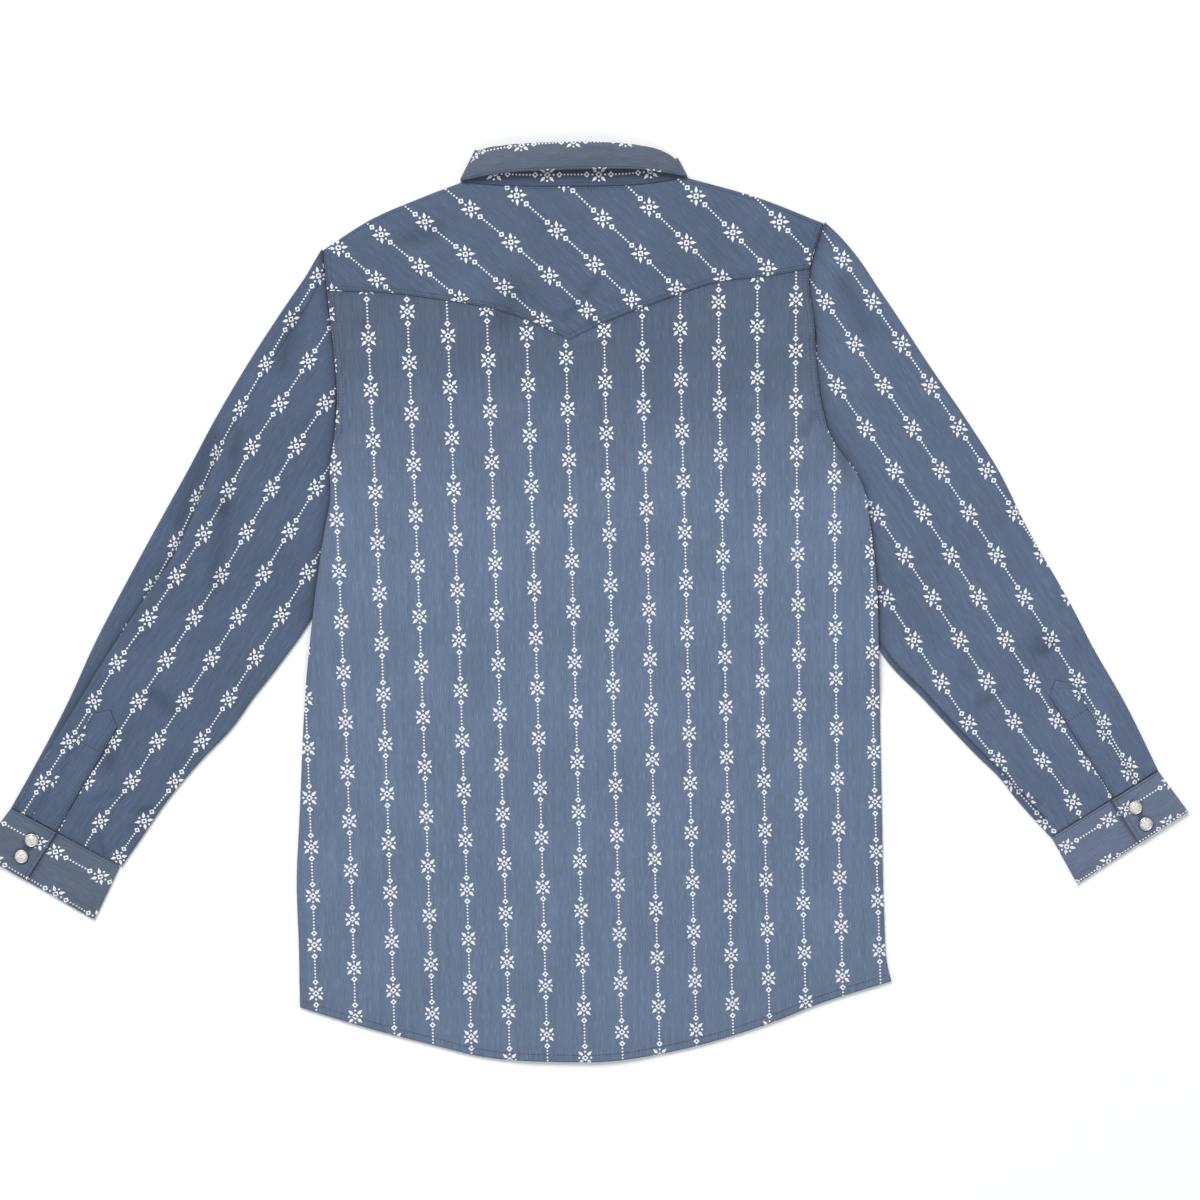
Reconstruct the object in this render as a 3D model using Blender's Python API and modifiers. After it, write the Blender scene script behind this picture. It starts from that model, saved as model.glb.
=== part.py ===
"""Western snap shirt, laid flat on its front with its back up.

Lengths are in millimetres until a mesh is made. From above, +X runs to the right sleeve, +Y to the
collar and +Z up from the surface that the shirt lies on. The origin is the middle of its footprint.
Every panel is an outer surface on a grid, given its wall inwards by a Solidify modifier.
"""
import math

import bpy
import numpy as np
from mathutils import Vector
from mathutils.bvhtree import BVHTree

MM = 0.001

# Walls and gaps
CLOTH = 1.0         # wall of one panel
SEAM_GAP = 0.3      # between pieces that are sewn together or lie on each other
SLOPED_GAP = SEAM_GAP / math.cos(math.radians(50))     # the same, measured along X or Y at a slanted seam
LAP_AIR = 0.1       # more between the placket band and the front under it
LAYER_GAP = 1.0     # air between the front and the back, in the body and in a sleeve
EDGE_RADIUS = (2 * CLOTH + LAYER_GAP) / 2   # outside of the fold along a sleeve
LAID_ON = CLOTH + SEAM_GAP                  # how far a layer lifts what lies on it
SLEEVE_HEIGHT = 2 * EDGE_RADIUS             # of a sleeve lying flat

# Grids
SHOULDER_COLUMNS = 6      # across one shoulder of the yoke
NECK_COLUMNS = 16         # across the neck
YOKE_ROWS = 3
ARMHOLE_ROWS = 5          # of the back, below the yoke
SIDE_ROWS = 14
FRONT_COLUMNS = 6         # across one shoulder, and again across half the neck
BAND_ROWS = 24
SLEEVE_ROWS = 20
UNDERARM_PACE = 0.72      # under 1 it sets the first rings further apart under the arm
SLEEVE_COLUMNS = (0, 0.12, 0.25, 0.38, 0.5, 0.62, 0.75, 0.88, 1)   # across shares of the top of a sleeve
CUFF_ROWS = 3
PLACKET_ROWS = 6
STATIONS_PER_ROW = 3      # of the collar's strips
STAND_COLUMNS = 4
FALL_SHARES = (0, 0.14, 0.27, 0.38, 0.5, 0.64, 0.82, 1)
SNAP_SIDES = 20
# A seam draws its two layers together: each row (distance in from the seam, how far a layer moves)
SEAM_PINCH = ((0.0, 0.35), (3.0, 0.12), (7.0, 0.0))
ARC_ANGLES = (math.pi / 4, 0.0, -math.pi / 4)      # points round a sleeve's fold, from its top to its bottom
FOLD_ANGLES = tuple(math.radians(a) for a in (-60, -30, 0, 30, 60))    # round a fold of the collar
SMOOTH_ANGLE = math.radians(40)
MERGE = 0.00001                                    # metres

# Outlines, each row (x, y)
SHOULDER_LEFT = ((-238.5, 322.5), (-195, 350.5), (-150, 370), (-113, 384))
NECK_BACK = ((-113, 384), (-76, 381), (-9, 380), (53, 382), (97, 388.5))
SHOULDER_RIGHT = ((97, 388.5), (158.5, 371.5), (221.5, 347))
YOKE_SEAM_LEFT = ((-235, 285), (-173, 282.5), (-126, 276), (-83.5, 268.5), (-62, 262), (-32, 249.5),
                  (-12.5, 240))
YOKE_SEAM_RIGHT = ((-12.5, 240), (14, 253), (58, 270.5), (87.5, 281.5), (126, 293.5), (166, 298),
                   (208.5, 305.5))
ARMHOLE_LEFT_YOKE = ((-238.5, 322.5), (-237, 303), (-235, 285))
ARMHOLE_LEFT_BACK = ((-235, 285), (-232, 258), (-228, 222), (-226, 185), (-228, 150))
ARMHOLE_RIGHT_YOKE = ((221.5, 347), (214, 325), (208.5, 305.5))
ARMHOLE_RIGHT_BACK = ((208.5, 305.5), (208, 286), (212, 262), (215, 217), (218, 190), (224, 160))
SIDE_LEFT = ((-228, 150), (-232, 127), (-232, 93), (-237.5, 62.5), (-244, 19.5), (-249.5, -27),
             (-254, -73), (-260.5, -200), (-263, -257), (-261, -318), (-260, -373.5))
SIDE_RIGHT = ((224, 160), (230, 147), (242, 130), (257, 107), (261.5, 90), (263.5, 75), (269.5, 25),
              (272, -44), (273, -100), (275, -200), (277, -290), (280, -335), (283.5, -349.5))
HEM = ((-260, -373.5), (-203, -391), (-136, -408.5), (-94.5, -418.5), (-19, -423.7), (16, -423.7),
       (87.5, -413), (169.5, -389), (221, -369), (283.5, -349.5))

# Front of the shirt, which lies on the table: each row (x, y)
NECK_FRONT_LEFT = ((-113, 384), (-105, 364), (-88.5, 340), (-60, 318), (-28, 306))
NECK_FRONT_RIGHT = ((-24, 305), (8, 306), (40, 318), (70, 340), (88, 364), (97, 388.5))
BAND_LEFT, BAND_RIGHT = -28.0, 8.0      # edges of the placket band
BAND_TOP, BAND_BOTTOM = 305.0, -423.4
RIGHT_FRONT_EDGE = -24.0                # edge of the right front, under the band

# Sleeves: outer and inner edges and the seam with the cuff, each row (x, y) from shoulder to cuff
SLEEVE_LEFT_OUTER = ((-238.5, 322.5), (-252, 302.5), (-278.5, 264), (-338.5, 166.5), (-363.5, 119.5),
                     (-394.5, 63.5), (-421, 14.5), (-449.5, -40.5), (-471, -88), (-505, -153.5),
                     (-525.5, -190))
SLEEVE_LEFT_INNER = ((-221, 151), (-226, 105), (-235, 50), (-246, -8), (-279.5, -59.5), (-304, -91),
                     (-321, -115), (-353, -149), (-380, -181), (-410, -224), (-424, -244))
SLEEVE_RIGHT_OUTER = ((221.5, 347), (240, 331), (277, 280), (319.5, 215.5), (354.5, 164), (384, 117),
                      (406, 72), (448, -2), (471.5, -47), (497, -91), (524, -145.5), (529, -156))
SLEEVE_RIGHT_INNER = ((221, 161), (226, 120), (240, 60), (258, -5), (274, -47), (314, -91),
                      (361.5, -141.5), (383.5, -163), (397.5, -181), (430, -217))

# Cuffs: corners (x, y) of the outer and the inner edge at the sleeve and at the end; where the lap's free
# edge crosses, as a share from the outer edge; the two snaps' places as shares of the cuff's depth, and
# how far in from the lap's free edge their centres are
CUFF_LEFT = {"seam": ((-525.5, -190.5), (-426, -244.5)), "end": ((-556.4, -231), (-449, -293)),
             "lap": 0.42, "snaps": (0.33, 0.67), "snap_inset": 15.6}
CUFF_RIGHT = {"seam": ((529, -156.5), (431, -217.5)), "end": ((556.4, -193.5), (454.5, -260)),
              "lap": 0.44, "snaps": (0.37, 0.75), "snap_inset": 14.7}
CUFF_UNDERLAP = 24.0        # how far the under end runs under the lap

# Sleeve plackets: a strip's outer and inner corners (x, y) at the cuff and where its point starts
PLACKET_LEFT = {"foot": ((-506.9, -199.2), (-483.1, -212)), "head": ((-451, -103), (-427.5, -116.5))}
PLACKET_RIGHT = {"foot": ((510.1, -166.8), (487.1, -181.1)), "head": ((451, -75.5), (428.6, -88.3))}
PLACKET_POINT = 11.0

# Snaps: a pearl cap in a metal rim; profiles as (radius, height)
SNAP_PROFILE = ((0, 2.2), (2.6, 2.05), (4.4, 1.6), (4.9, 1.15), (5.2, 1.35), (5.6, 1.5), (6.05, 1.3),
                (6.25, 0.8), (6.1, 0), (0, 0))
FLUSH_PROFILE = ((0, 0.95), (6.05, 0.95), (6.25, 0.7), (6.1, 0.25), (5.6, 0.05), (0, 0.05))
SNAP_HOLE = 13.1            # diameter of the hole in the band round a snap
HIDDEN_SNAPS = 7            # down the front
HIDDEN_SNAP_TOP = 286.0
HIDDEN_SNAP_PITCH = 92.0

# Collar stand: outer face, each row (seam x, y, z, top edge x, y, z), in three runs that fold over at the
# neck's corners: from the left front end, round the back, and on to the right front end
STAND = (
    (
        (8, 305.6, 1.3, 8, 333.5, 1.3),
        (-28, 307.5, 1.3, -24, 335, 1.3),
        (-59.5, 319.3, 1.3, -46, 344, 1.3),
        (-87.4, 341, 1.3, -66, 361, 1.3),
        (-103.4, 364.6, 1.3, -81, 383, 1.3),
        (-109.6, 385.1, 1.3, -95.5, 410.6, 1.3),
    ),
    (
        (-109.6, 385.1, 4.9, -95.5, 410.6, 6.4),
        (-76, 381.9, 5.0, -70, 414, 8.2),
        (-9, 381, 6.0, -9, 416, 9.4),
        (53, 382.9, 5.2, 50, 413.5, 8.2),
        (92.6, 389.1, 4.9, 84.3, 404.2, 6.4),
    ),
    (
        (92.6, 389.1, 1.3, 84.3, 404.2, 1.3),
        (86.6, 364.6, 1.3, 66, 381, 1.3),
        (68.6, 341, 1.3, 48, 361, 1.4),
        (39, 319.3, 1.6, 26, 344, 1.7),
        (8, 307.5, 2.6, 4, 335, 2.6),
        (-24, 305.6, 2.6, -24, 333.5, 2.6),
    ),
)
STAND_FOLD = 1.8            # how far the stand's outer face reaches past its fold

# Collar fall: outer face, each row (top x, y, z, roll x, y, z, free edge x, y, z), in runs as the stand; the
# roll point bends a section as the middle point of a quadratic curve
FALL = (
    (
        (-18, 337, 0, -40, 300, 0, -62, 262, 0),
        (-42, 345, 0, -60, 312, 0, -77, 280, 0),
        (-66, 362, 0, -80, 338, 0, -95, 312, 0),
        (-82, 383, 0, -95, 366, 0, -109, 347, 0),
        (-96.9, 413.3, 0, -103.8, 399.5, 0, -110.7, 385.7, 0),
    ),
    (
        (-96.9, 413.3, 8.4, -103.8, 399.5, 13, -110.7, 385.7, 8.6),
        (-88, 414.2, 9.2, -91.5, 419.5, 16.5, -96, 388.6, 10.6),
        (-72, 414.5, 10.6, -74, 425.5, 21, -77, 391.5, 13.5),
        (-30, 416.6, 11.4, -30, 428.6, 25, -30, 394, 15.8),
        (14, 417.3, 11.8, 14, 428.4, 28, 14, 395.2, 16.8),
        (50, 414.2, 10.8, 50, 425.9, 24, 52, 395, 14.6),
        (72, 409, 9.6, 73, 420.5, 18, 78, 392, 11.5),
        (80, 407.2, 8.8, 83, 411.5, 15, 88, 390.6, 9.4),
        (85.3, 405.9, 8.0, 89.5, 397.8, 11.5, 93.7, 389.7, 8.2),
    ),
    (
        (85.3, 405.9, 0, 89.5, 397.8, 0, 93.7, 389.7, 0),
        (68, 383, 0, 80, 366, 0, 91, 347, 0),
        (48, 362, 0, 62, 338, 0, 76, 312, 0),
        (25, 345, 0, 42, 312, 0, 58, 280, 0),
        (1, 337, 0, 22, 300, 0, 43, 262, 0),
    ),
)
FALL_FOLD = 2.5             # how far the fall's outer face reaches past its fold

# Where layers come off what lies under them: each pair (where the lift is nothing, where it is whole)
NECK_RISE_LEFT, NECK_RISE_RIGHT, NECK_RISE_Y = (-156, -126), (140, 110), (180, 250)   # over the collar
BAND_RISE_FRONT = (44, 14)                                  # the right front, over the placket band
BAND_RISE_BACK_LEFT, BAND_RISE_BACK_RIGHT = (-96, -36), (80, 20)     # the back, over the band and the front
SLEEVE_RISE_TOP, SLEEVE_RISE_FOOT = (210, 158), (-115, -62)          # y of the sides, over the sleeves
ON_SLEEVE_LEFT = (70, 12)       # the same, as distances in from the left side
ON_SLEEVE_RIGHT = (88, 32)

# Soft folds of the cloth: each row (start x, y, end x, y, half width, height)
BODY_FOLDS = (
    (-92, 330, -145, 312, 16, 1.0),
    (-60, 285, -72, 262, 14, -0.9),
    (-12, 236, 20, 246, 7, 1.3),
    (246, 165, 200, 128, 12, 1.2),
    (214, 250, 196, 232, 9, 0.8),
    (-262, -332, -230, -322, 8, 1.0),
    (-120, 60, -105, -260, 34, 0.8),
    (95, 120, 120, -280, 38, 0.8),
    (-10, -60, 0, -330, 30, -0.6),
)
SLEEVE_FOLDS = (
    (-338, 150, -372, 70, 9, -0.8),
    (-330, 120, -366, 40, 12, 1.0),
    (-424, -165, -470, -190, 12, 1.2),
    (420, -10, 452, -30, 14, 1.3),
    (370, -78, 402, -96, 13, 1.1),
    (425, -160, 470, -170, 11, 1.0),
)
BODY_BILLOW = 1.4           # air under the back's middle, which fades over these stretches to its edges
BILLOW_LEFT, BILLOW_RIGHT, BILLOW_TOP, BILLOW_FOOT = (-225, -120), (205, 110), (350, 240), (-400, -300)
FOLDS_END_X, FOLDS_END_Y = (258, 225), (372, 345)    # where folds fade out to the sides and the shoulders
SLEEVE_BILLOW = 1.6         # air in the middle of a sleeve, which starts and ends at these shares along it
SLEEVE_BILLOW_START, SLEEVE_BILLOW_END = (0.15, 0.4), (1.0, 0.8)
SLEEVE_SETTLED = 0.25       # share along a sleeve at which its columns leave the armhole's spacing
SLEEVE_FOLD_START = 0.06    # share along a sleeve at which its edges are round folds
FOLDS_END_CUFF = (1.0, 0.93)
# The long overlap down the left sleeve: rows (share along the sleeve, share across to its edge, height)
OVERLAP = ((0.28, 0.10, 0.0), (0.40, 0.11, 1.2), (0.50, 0.157, 2.2), (0.60, 0.14, 2.6), (0.72, 0.103, 2.2),
           (0.80, 0.065, 1.4), (0.88, 0.05, 0.0))
OVERLAP_STEP = 0.035      # across share over which the cloth steps up to the overlap
OVERLAP_WIDTH = 0.16      # across share over which the overlap sinks back
OVERLAP_COLUMNS = (0.1, 0.3, 0.52, 0.76, 1)   # shares of the rest of the width, past the overlap's edge

HEM_SHARE_LEFT, HEM_SHARE_RIGHT = 0.405, 0.412    # where the fronts' edges meet the hem

# Colours
DENIM_BLUE = (0.14, 0.188, 0.283, 1.0)
COLLAR_BLUE = (0.13, 0.152, 0.216, 1.0)
PEARL = (0.62, 0.62, 0.60, 1.0)


# ---------------------------------------------------------------- curves and grids

def dense_curve(points, per_span=16):
    """A smooth curve through the points, with per_span short chords for each span. Its direction at a point
    is the mean of the directions of the spans that meet there, where the shorter span weighs more."""
    p = np.asarray(points, float)
    length = np.linalg.norm(np.diff(p, axis=0), axis=1)[:, None]
    slope = np.diff(p, axis=0) / length
    middle = (slope[:-1] * length[1:] + slope[1:] * length[:-1]) / (length[1:] + length[:-1])
    way = np.vstack([slope[:1], middle, slope[-1:]])
    t = (np.arange(per_span) / per_span)[:, None]
    spans = [(2 * t**3 - 3 * t**2 + 1) * p[k] + (3 * t**2 - 2 * t**3) * p[k + 1]
             + ((t**3 - 2 * t**2 + t) * way[k] + (t**3 - t**2) * way[k + 1]) * length[k]
             for k in range(len(p) - 1)]
    return np.vstack([*spans, p[-1:]])


def along(points, shares):
    """Points at the given shares of the length of the curve through the points."""
    curve = dense_curve(points)
    lengths = np.linalg.norm(np.diff(curve, axis=0), axis=1)
    run = np.concatenate([[0.0], np.cumsum(lengths)])
    places = np.asarray(shares) * run[-1]
    return np.stack([np.interp(places, run, curve[:, k]) for k in range(curve.shape[1])], 1)


def even(count):
    """count + 1 even shares from 0 to 1."""
    return np.arange(count + 1) / count


def joined(*stretches):
    """One line from stretches that share their end points."""
    return np.vstack([stretches[0], *(s[1:] for s in stretches[1:])])


def patch(top, bottom, left, right, across, down):
    """A Coons patch: straight rows between left and right, bent to follow top and bottom."""
    u = np.asarray(across)[None, :, None]
    v = np.asarray(down)[:, None, None]
    top_bow = top - (top[0] + (top[-1] - top[0]) * np.asarray(across)[:, None])
    bottom_bow = bottom - (bottom[0] + (bottom[-1] - bottom[0]) * np.asarray(across)[:, None])
    straight = left[:, None, :] * (1 - u) + right[:, None, :] * u
    return straight + (1 - v) * top_bow[None] + v * bottom_bow[None]


def line_shares(line):
    """Share of the length of a line at each of its points."""
    run = np.concatenate([[0.0], np.cumsum(np.linalg.norm(np.diff(line, axis=0), axis=1))])
    return run / run[-1]


def ramp(value, span):
    """0 at the span's first end, 1 at its second, with a smooth rise between; the first may be the larger."""
    t = np.clip((value - span[0]) / (span[1] - span[0]), 0.0, 1.0)
    return t * t * (3 - 2 * t)


def relief(x, y, folds):
    """Sum of soft folds: each a bell across its line that fades out past the line's ends."""
    height = np.zeros_like(x)
    for x0, y0, x1, y1, half_width, rise in folds:
        length = math.hypot(x1 - x0, y1 - y0)
        ax, ay = (x1 - x0) / length, (y1 - y0) / length
        run = (x - x0) * ax + (y - y0) * ay
        off = (x - x0) * ay - (y - y0) * ax
        past = np.maximum(np.abs(run - length / 2) - length / 2, 0.0)
        height += rise * np.exp(-(off / half_width) ** 2 - (past / half_width) ** 2)
    return height


# ---------------------------------------------------------------- layers of the body

def side_lift(x, y):
    """How far the body's sides are raised by the sleeves under them."""
    beside = 0.0
    for side, inwards, rise in ((SIDE_LEFT, 1, ON_SLEEVE_LEFT), (SIDE_RIGHT, -1, ON_SLEEVE_RIGHT)):
        edge = np.interp(y, [p[1] for p in side[::-1]], [p[0] for p in side[::-1]])
        beside = beside + ramp((x - edge) * inwards, rise)
    return (SLEEVE_HEIGHT + 2 * SEAM_GAP) * beside * ramp(y, SLEEVE_RISE_TOP) * ramp(y, SLEEVE_RISE_FOOT)


def neck_lift(x, y):
    """How far the collar's leaves raise the fronts round the neck."""
    return LAID_ON * ramp(x, NECK_RISE_LEFT) * ramp(x, NECK_RISE_RIGHT) * ramp(y, NECK_RISE_Y)


def lap_lift(x):
    """How far the placket band raises the right front."""
    return (LAID_ON + LAP_AIR) * ramp(x, BAND_RISE_FRONT)


def back_lift(x, y):
    """Height of the back's lower face over the table."""
    lap = LAID_ON * ramp(x, BAND_RISE_BACK_LEFT) * ramp(x, BAND_RISE_BACK_RIGHT)
    return side_lift(x, y) + neck_lift(x, y) + lap + CLOTH + LAYER_GAP


def back_height(plan):
    """Height of the back's upper face: over the fronts, with a soft rise that is nothing at the edges."""
    x, y = plan[..., 0], plan[..., 1]
    inside = ramp(x, BILLOW_LEFT) * ramp(x, BILLOW_RIGHT) * ramp(y, BILLOW_TOP) * ramp(y, BILLOW_FOOT)
    folds = relief(x, y, BODY_FOLDS) * ramp(y, FOLDS_END_Y) * ramp(np.abs(x), FOLDS_END_X)
    return back_lift(x, y) + CLOTH + BODY_BILLOW * inside + folds


def with_pinch_lines(line):
    """The line with the points of a drawn-in seam added next to both its ends."""
    ends = []
    for a, b in ((line[0], line[1]), (line[-1], line[-2])):
        step = (b - a) / np.linalg.norm(b - a)
        ends.append([a + step * d for d, _ in SEAM_PINCH])
    return np.vstack([ends[0], line[1:-1], ends[1][::-1]])


# ---------------------------------------------------------------- Blender

def material(name, colour, roughness, metallic=0.0):
    """A Principled BSDF material with one colour."""
    made = bpy.data.materials.get(name) or bpy.data.materials.new(name)
    made.use_nodes = True
    shader = made.node_tree.nodes["Principled BSDF"]
    shader.inputs["Base Color"].default_value = colour
    shader.inputs["Roughness"].default_value = roughness
    shader.inputs["Metallic"].default_value = metallic
    return made


def collection(name):
    """A collection linked to the scene."""
    made = bpy.data.collections.get(name) or bpy.data.collections.new(name)
    if name not in bpy.context.scene.collection.children:
        bpy.context.scene.collection.children.link(made)
    return made


def new_object(name, points, edges, faces, finish, group):
    """An object from points in millimetres, with edges or faces that hold their indices."""
    mesh = bpy.data.meshes.new(name)
    mesh.from_pydata((np.asarray(points) * MM).tolist(), edges, faces)
    mesh.materials.append(finish)
    made = bpy.data.objects.new(name, mesh)
    group.objects.link(made)
    return made


def sheet(name, grid, facing, finish, group, closed=False):
    """A wall of cloth behind an outer surface, grid[row, column] = (x, y, z). Its first columns face
    facing (1 up, -1 down); closed joins the last column to the first, as on a sleeve."""
    rows, columns = grid.shape[:2]
    index = np.arange(rows * columns).reshape(rows, columns)
    if closed:
        index = np.hstack([index, index[:, :1]])
    corners = [index[:-1, :-1], index[:-1, 1:], index[1:, 1:], index[1:, :-1]]
    along_row, down = grid[0, 1] - grid[0, 0], grid[1, 0] - grid[0, 0]
    if np.cross(along_row, down)[2] * facing < 0:
        corners.reverse()
    faces = np.stack(corners, -1).reshape(-1, 4).tolist()
    made = new_object(name, grid.reshape(-1, 3), [], faces, finish, group)
    made.data.shade_smooth()
    made.data.set_sharp_from_angle(angle=SMOOTH_ANGLE)
    solid = made.modifiers.new("wall", "SOLIDIFY")
    solid.thickness = CLOTH * MM
    solid.offset = -1.0
    return made


def with_height(plan, height):
    """Grid points from a plan and a height."""
    return np.concatenate([plan, height[..., None]], -1)


def top_of(made):
    """A search tree of an object's solid, to find how high it is at a place."""
    return BVHTree.FromObject(made, bpy.context.evaluated_depsgraph_get())


def height_over(tree, x, y):
    """Height of a solid's top at (x, y), all in millimetres."""
    hit = tree.ray_cast(Vector((x * MM, y * MM, 1.0)), Vector((0.0, 0.0, -1.0)))[0]
    return hit.z / MM


# ---------------------------------------------------------------- body

def yoke_seam():
    """Seam of the yoke on the back, with its western point in the middle column."""
    half = SHOULDER_COLUMNS + NECK_COLUMNS // 2
    return joined(along(YOKE_SEAM_LEFT, even(half)), along(YOKE_SEAM_RIGHT, even(half)))


def body_edge(yoke_part, back_part, side_part):
    """One side of the body, as points that its panels share: beside the yoke, the back and below."""
    return (along(yoke_part, even(YOKE_ROWS)), along(back_part, even(ARMHOLE_ROWS)),
            along(side_part, even(SIDE_ROWS)))


def pinch_rows(plan):
    """The plan with the lines of a drawn-in seam in place of its first row."""
    step = plan[1] - plan[0]
    step = step / np.linalg.norm(step, axis=1)[:, None]
    return np.concatenate([np.stack([plan[0] + step * d for d, _ in SEAM_PINCH]), plan[1:]])


def make_yoke(finish, group, left, right):
    """Back yoke: drawn down to the fronts at the shoulders, open at the neck, pointed below."""
    top = joined(along(SHOULDER_LEFT, even(SHOULDER_COLUMNS)), along(NECK_BACK, even(NECK_COLUMNS)),
                 along(SHOULDER_RIGHT, even(SHOULDER_COLUMNS)))
    bottom = yoke_seam()
    plan = pinch_rows(patch(top, bottom, left[0], right[0], line_shares(bottom), line_shares(left[0])))
    height = back_height(plan)
    column = np.arange(plan.shape[1])
    on_shoulder = (column < SHOULDER_COLUMNS) | (column > SHOULDER_COLUMNS + NECK_COLUMNS)
    for row, (_, drop) in enumerate(SEAM_PINCH):
        height[row, on_shoulder] -= drop
    return sheet("back_yoke", with_height(plan, height), 1, finish, group)


def make_back(finish, group, left, right):
    """Back panel from the yoke seam to the curved hem, its sides drawn down to the fronts."""
    below_yoke = np.array((0.0, -SLOPED_GAP))
    top = with_pinch_lines(yoke_seam() + below_yoke)
    across = line_shares(top)
    edges = [joined(side[1], side[2]) for side in (left, right)]
    for edge in edges:
        edge[0] += below_yoke
    plan = patch(top, along(HEM, across), *edges, across, line_shares(edges[0]))
    height = back_height(plan)
    for column, (_, drop) in enumerate(SEAM_PINCH):
        height[ARMHOLE_ROWS + 1:, (column, -1 - column)] -= drop
    return sheet("back_panel", with_height(plan, height), 1, finish, group)


def make_front(name, finish, group, edge, shoulder, neck, middle, hem_shares, lap):
    """A front on the table, between its side edge and x = middle, lifted where lap says."""
    side = joined(*edge)
    top = joined(along(shoulder, even(FRONT_COLUMNS)), along(neck, even(FRONT_COLUMNS)))
    step = (top[1] - top[0]) / np.linalg.norm(top[1] - top[0])
    top = np.vstack([[top[0] + step * d for d, _ in SEAM_PINCH], top[1:]])
    across, down = line_shares(top), line_shares(side)
    hem = along(HEM, np.interp(across, (0, 1), hem_shares))
    centre = np.stack([np.full(len(down), middle), np.interp(down, (0, 1), (top[-1, 1], hem[-1, 1]))], 1)
    hem[-1, 0] = middle
    plan = pinch_rows(patch(top, hem, side, centre, across, down))
    x, y = plan[..., 0], plan[..., 1]
    height = side_lift(x, y) + neck_lift(x, y) + lap(x)
    below_armhole = len(SEAM_PINCH) + YOKE_ROWS + ARMHOLE_ROWS
    on_shoulder = slice(0, FRONT_COLUMNS + len(SEAM_PINCH) - 1)
    for line, (_, drop) in enumerate(SEAM_PINCH):
        height[below_armhole:, line] += drop
        height[line, on_shoulder] += drop
    return sheet(name, with_height(plan, height), -1, finish, group)


def make_placket_band(finish, group, cutters):
    """Band that carries the front snaps, with a round hole for each."""
    y = np.linspace(BAND_TOP, BAND_BOTTOM, BAND_ROWS + 1)
    x = np.linspace(BAND_LEFT, BAND_RIGHT, 3)
    plan = np.stack(np.meshgrid(x, y), -1)
    band = sheet("front_placket", with_height(plan, neck_lift(plan[..., 0], plan[..., 1])), -1, finish, group)
    for number in range(HIDDEN_SNAPS):
        centre = hidden_snap_place(number)
        bpy.ops.mesh.primitive_cylinder_add(vertices=SNAP_SIDES, radius=SNAP_HOLE / 2 * MM, depth=20 * MM,
                                            location=[c * MM for c in centre])
        cutter = bpy.context.object
        cutter.name = f"snap_hole_{number + 1}"
        cutter.hide_render = True
        cutter.display_type = "WIRE"
        for other in cutter.users_collection:
            other.objects.unlink(cutter)
        cutters.objects.link(cutter)
    holes = band.modifiers.new("snap holes", "BOOLEAN")
    holes.operand_type = "COLLECTION"
    holes.collection = cutters
    holes.operation = "DIFFERENCE"
    return band


# ---------------------------------------------------------------- sleeves and cuffs

def sleeve_columns(share_along, overlap):
    """Across shares of the columns at each row: close together where the overlap steps up."""
    if not overlap:
        return np.repeat(np.array(SLEEVE_COLUMNS)[None], len(share_along), axis=0)
    edge = np.interp(share_along, [o[0] for o in overlap], [o[1] for o in overlap])
    after = np.array(OVERLAP_COLUMNS)
    return np.stack([np.zeros_like(edge), (edge - OVERLAP_STEP) / 2, edge - OVERLAP_STEP, edge,
                     *(edge + (1 - edge) * share for share in after)], 1)


def overlap_height(across, share_along, overlap):
    """Height of the cloth that laps over the outer edge: a step up, then a slow fall."""
    steps = [o[0] for o in overlap]
    edge = np.interp(share_along, steps, [o[1] for o in overlap])[:, None]
    rise = np.interp(share_along, steps, [o[2] for o in overlap])[:, None]
    up = np.clip((across - edge + OVERLAP_STEP) / OVERLAP_STEP, 0, 1)
    down = ramp(across - edge, (OVERLAP_WIDTH, 0.0))
    return rise * np.minimum(up, down)


def make_sleeve(name, finish, group, edge, outward, outer, inner, overlap):
    """Sleeve: a flattened tube whose first ring follows the armhole and whose last is at the cuff."""
    armhole = joined(edge[0], edge[1]) + np.array((outward * SLOPED_GAP, 0.0))
    share = even(SLEEVE_ROWS)
    at_armhole = line_shares(armhole)
    settled = ramp(share, (0.0, SLEEVE_SETTLED))[:, None]
    across = at_armhole[None] * (1 - settled) + sleeve_columns(share, overlap) * settled
    edges = along(outer, share), along(inner, share**UNDERARM_PACE)
    away = [outward_of(edges[k], edges[1 - k]) for k in (0, 1)]
    away[1][0] = unit(unit(armhole[-1] - armhole[0]) + away[1][0])
    inset = (EDGE_RADIUS * ramp(share, (0.0, SLEEVE_FOLD_START)))[:, None]
    start, end = (edges[k] - away[k] * inset for k in (0, 1))
    start[0], end[0] = armhole[0], armhole[-1]
    plan = start[:, None] * (1 - across[..., None]) + end[:, None] * across[..., None]
    plan[0] = armhole
    full = ramp(share, SLEEVE_BILLOW_START) * ramp(share, SLEEVE_BILLOW_END)
    swell = np.sin(np.pi * across) ** 2 * full[:, None]
    height = SLEEVE_HEIGHT + SLEEVE_BILLOW * swell
    height += relief(plan[..., 0], plan[..., 1], SLEEVE_FOLDS) * ramp(share, FOLDS_END_CUFF)[:, None]
    if overlap:
        height += overlap_height(across, share, overlap)
    top = with_height(plan, height)
    bottom = with_height(plan, np.zeros_like(height))[:, ::-1]
    inner_fold = edge_arc(end, away[1], ARC_ANGLES)
    outer_fold = edge_arc(start, away[0], ARC_ANGLES[::-1])
    ring = np.concatenate([top, inner_fold, bottom, outer_fold], 1)
    return sheet(name, ring, 1, finish, group, closed=True)


def unit(vector):
    """The vector at length 1."""
    return vector / np.linalg.norm(vector)


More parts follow.
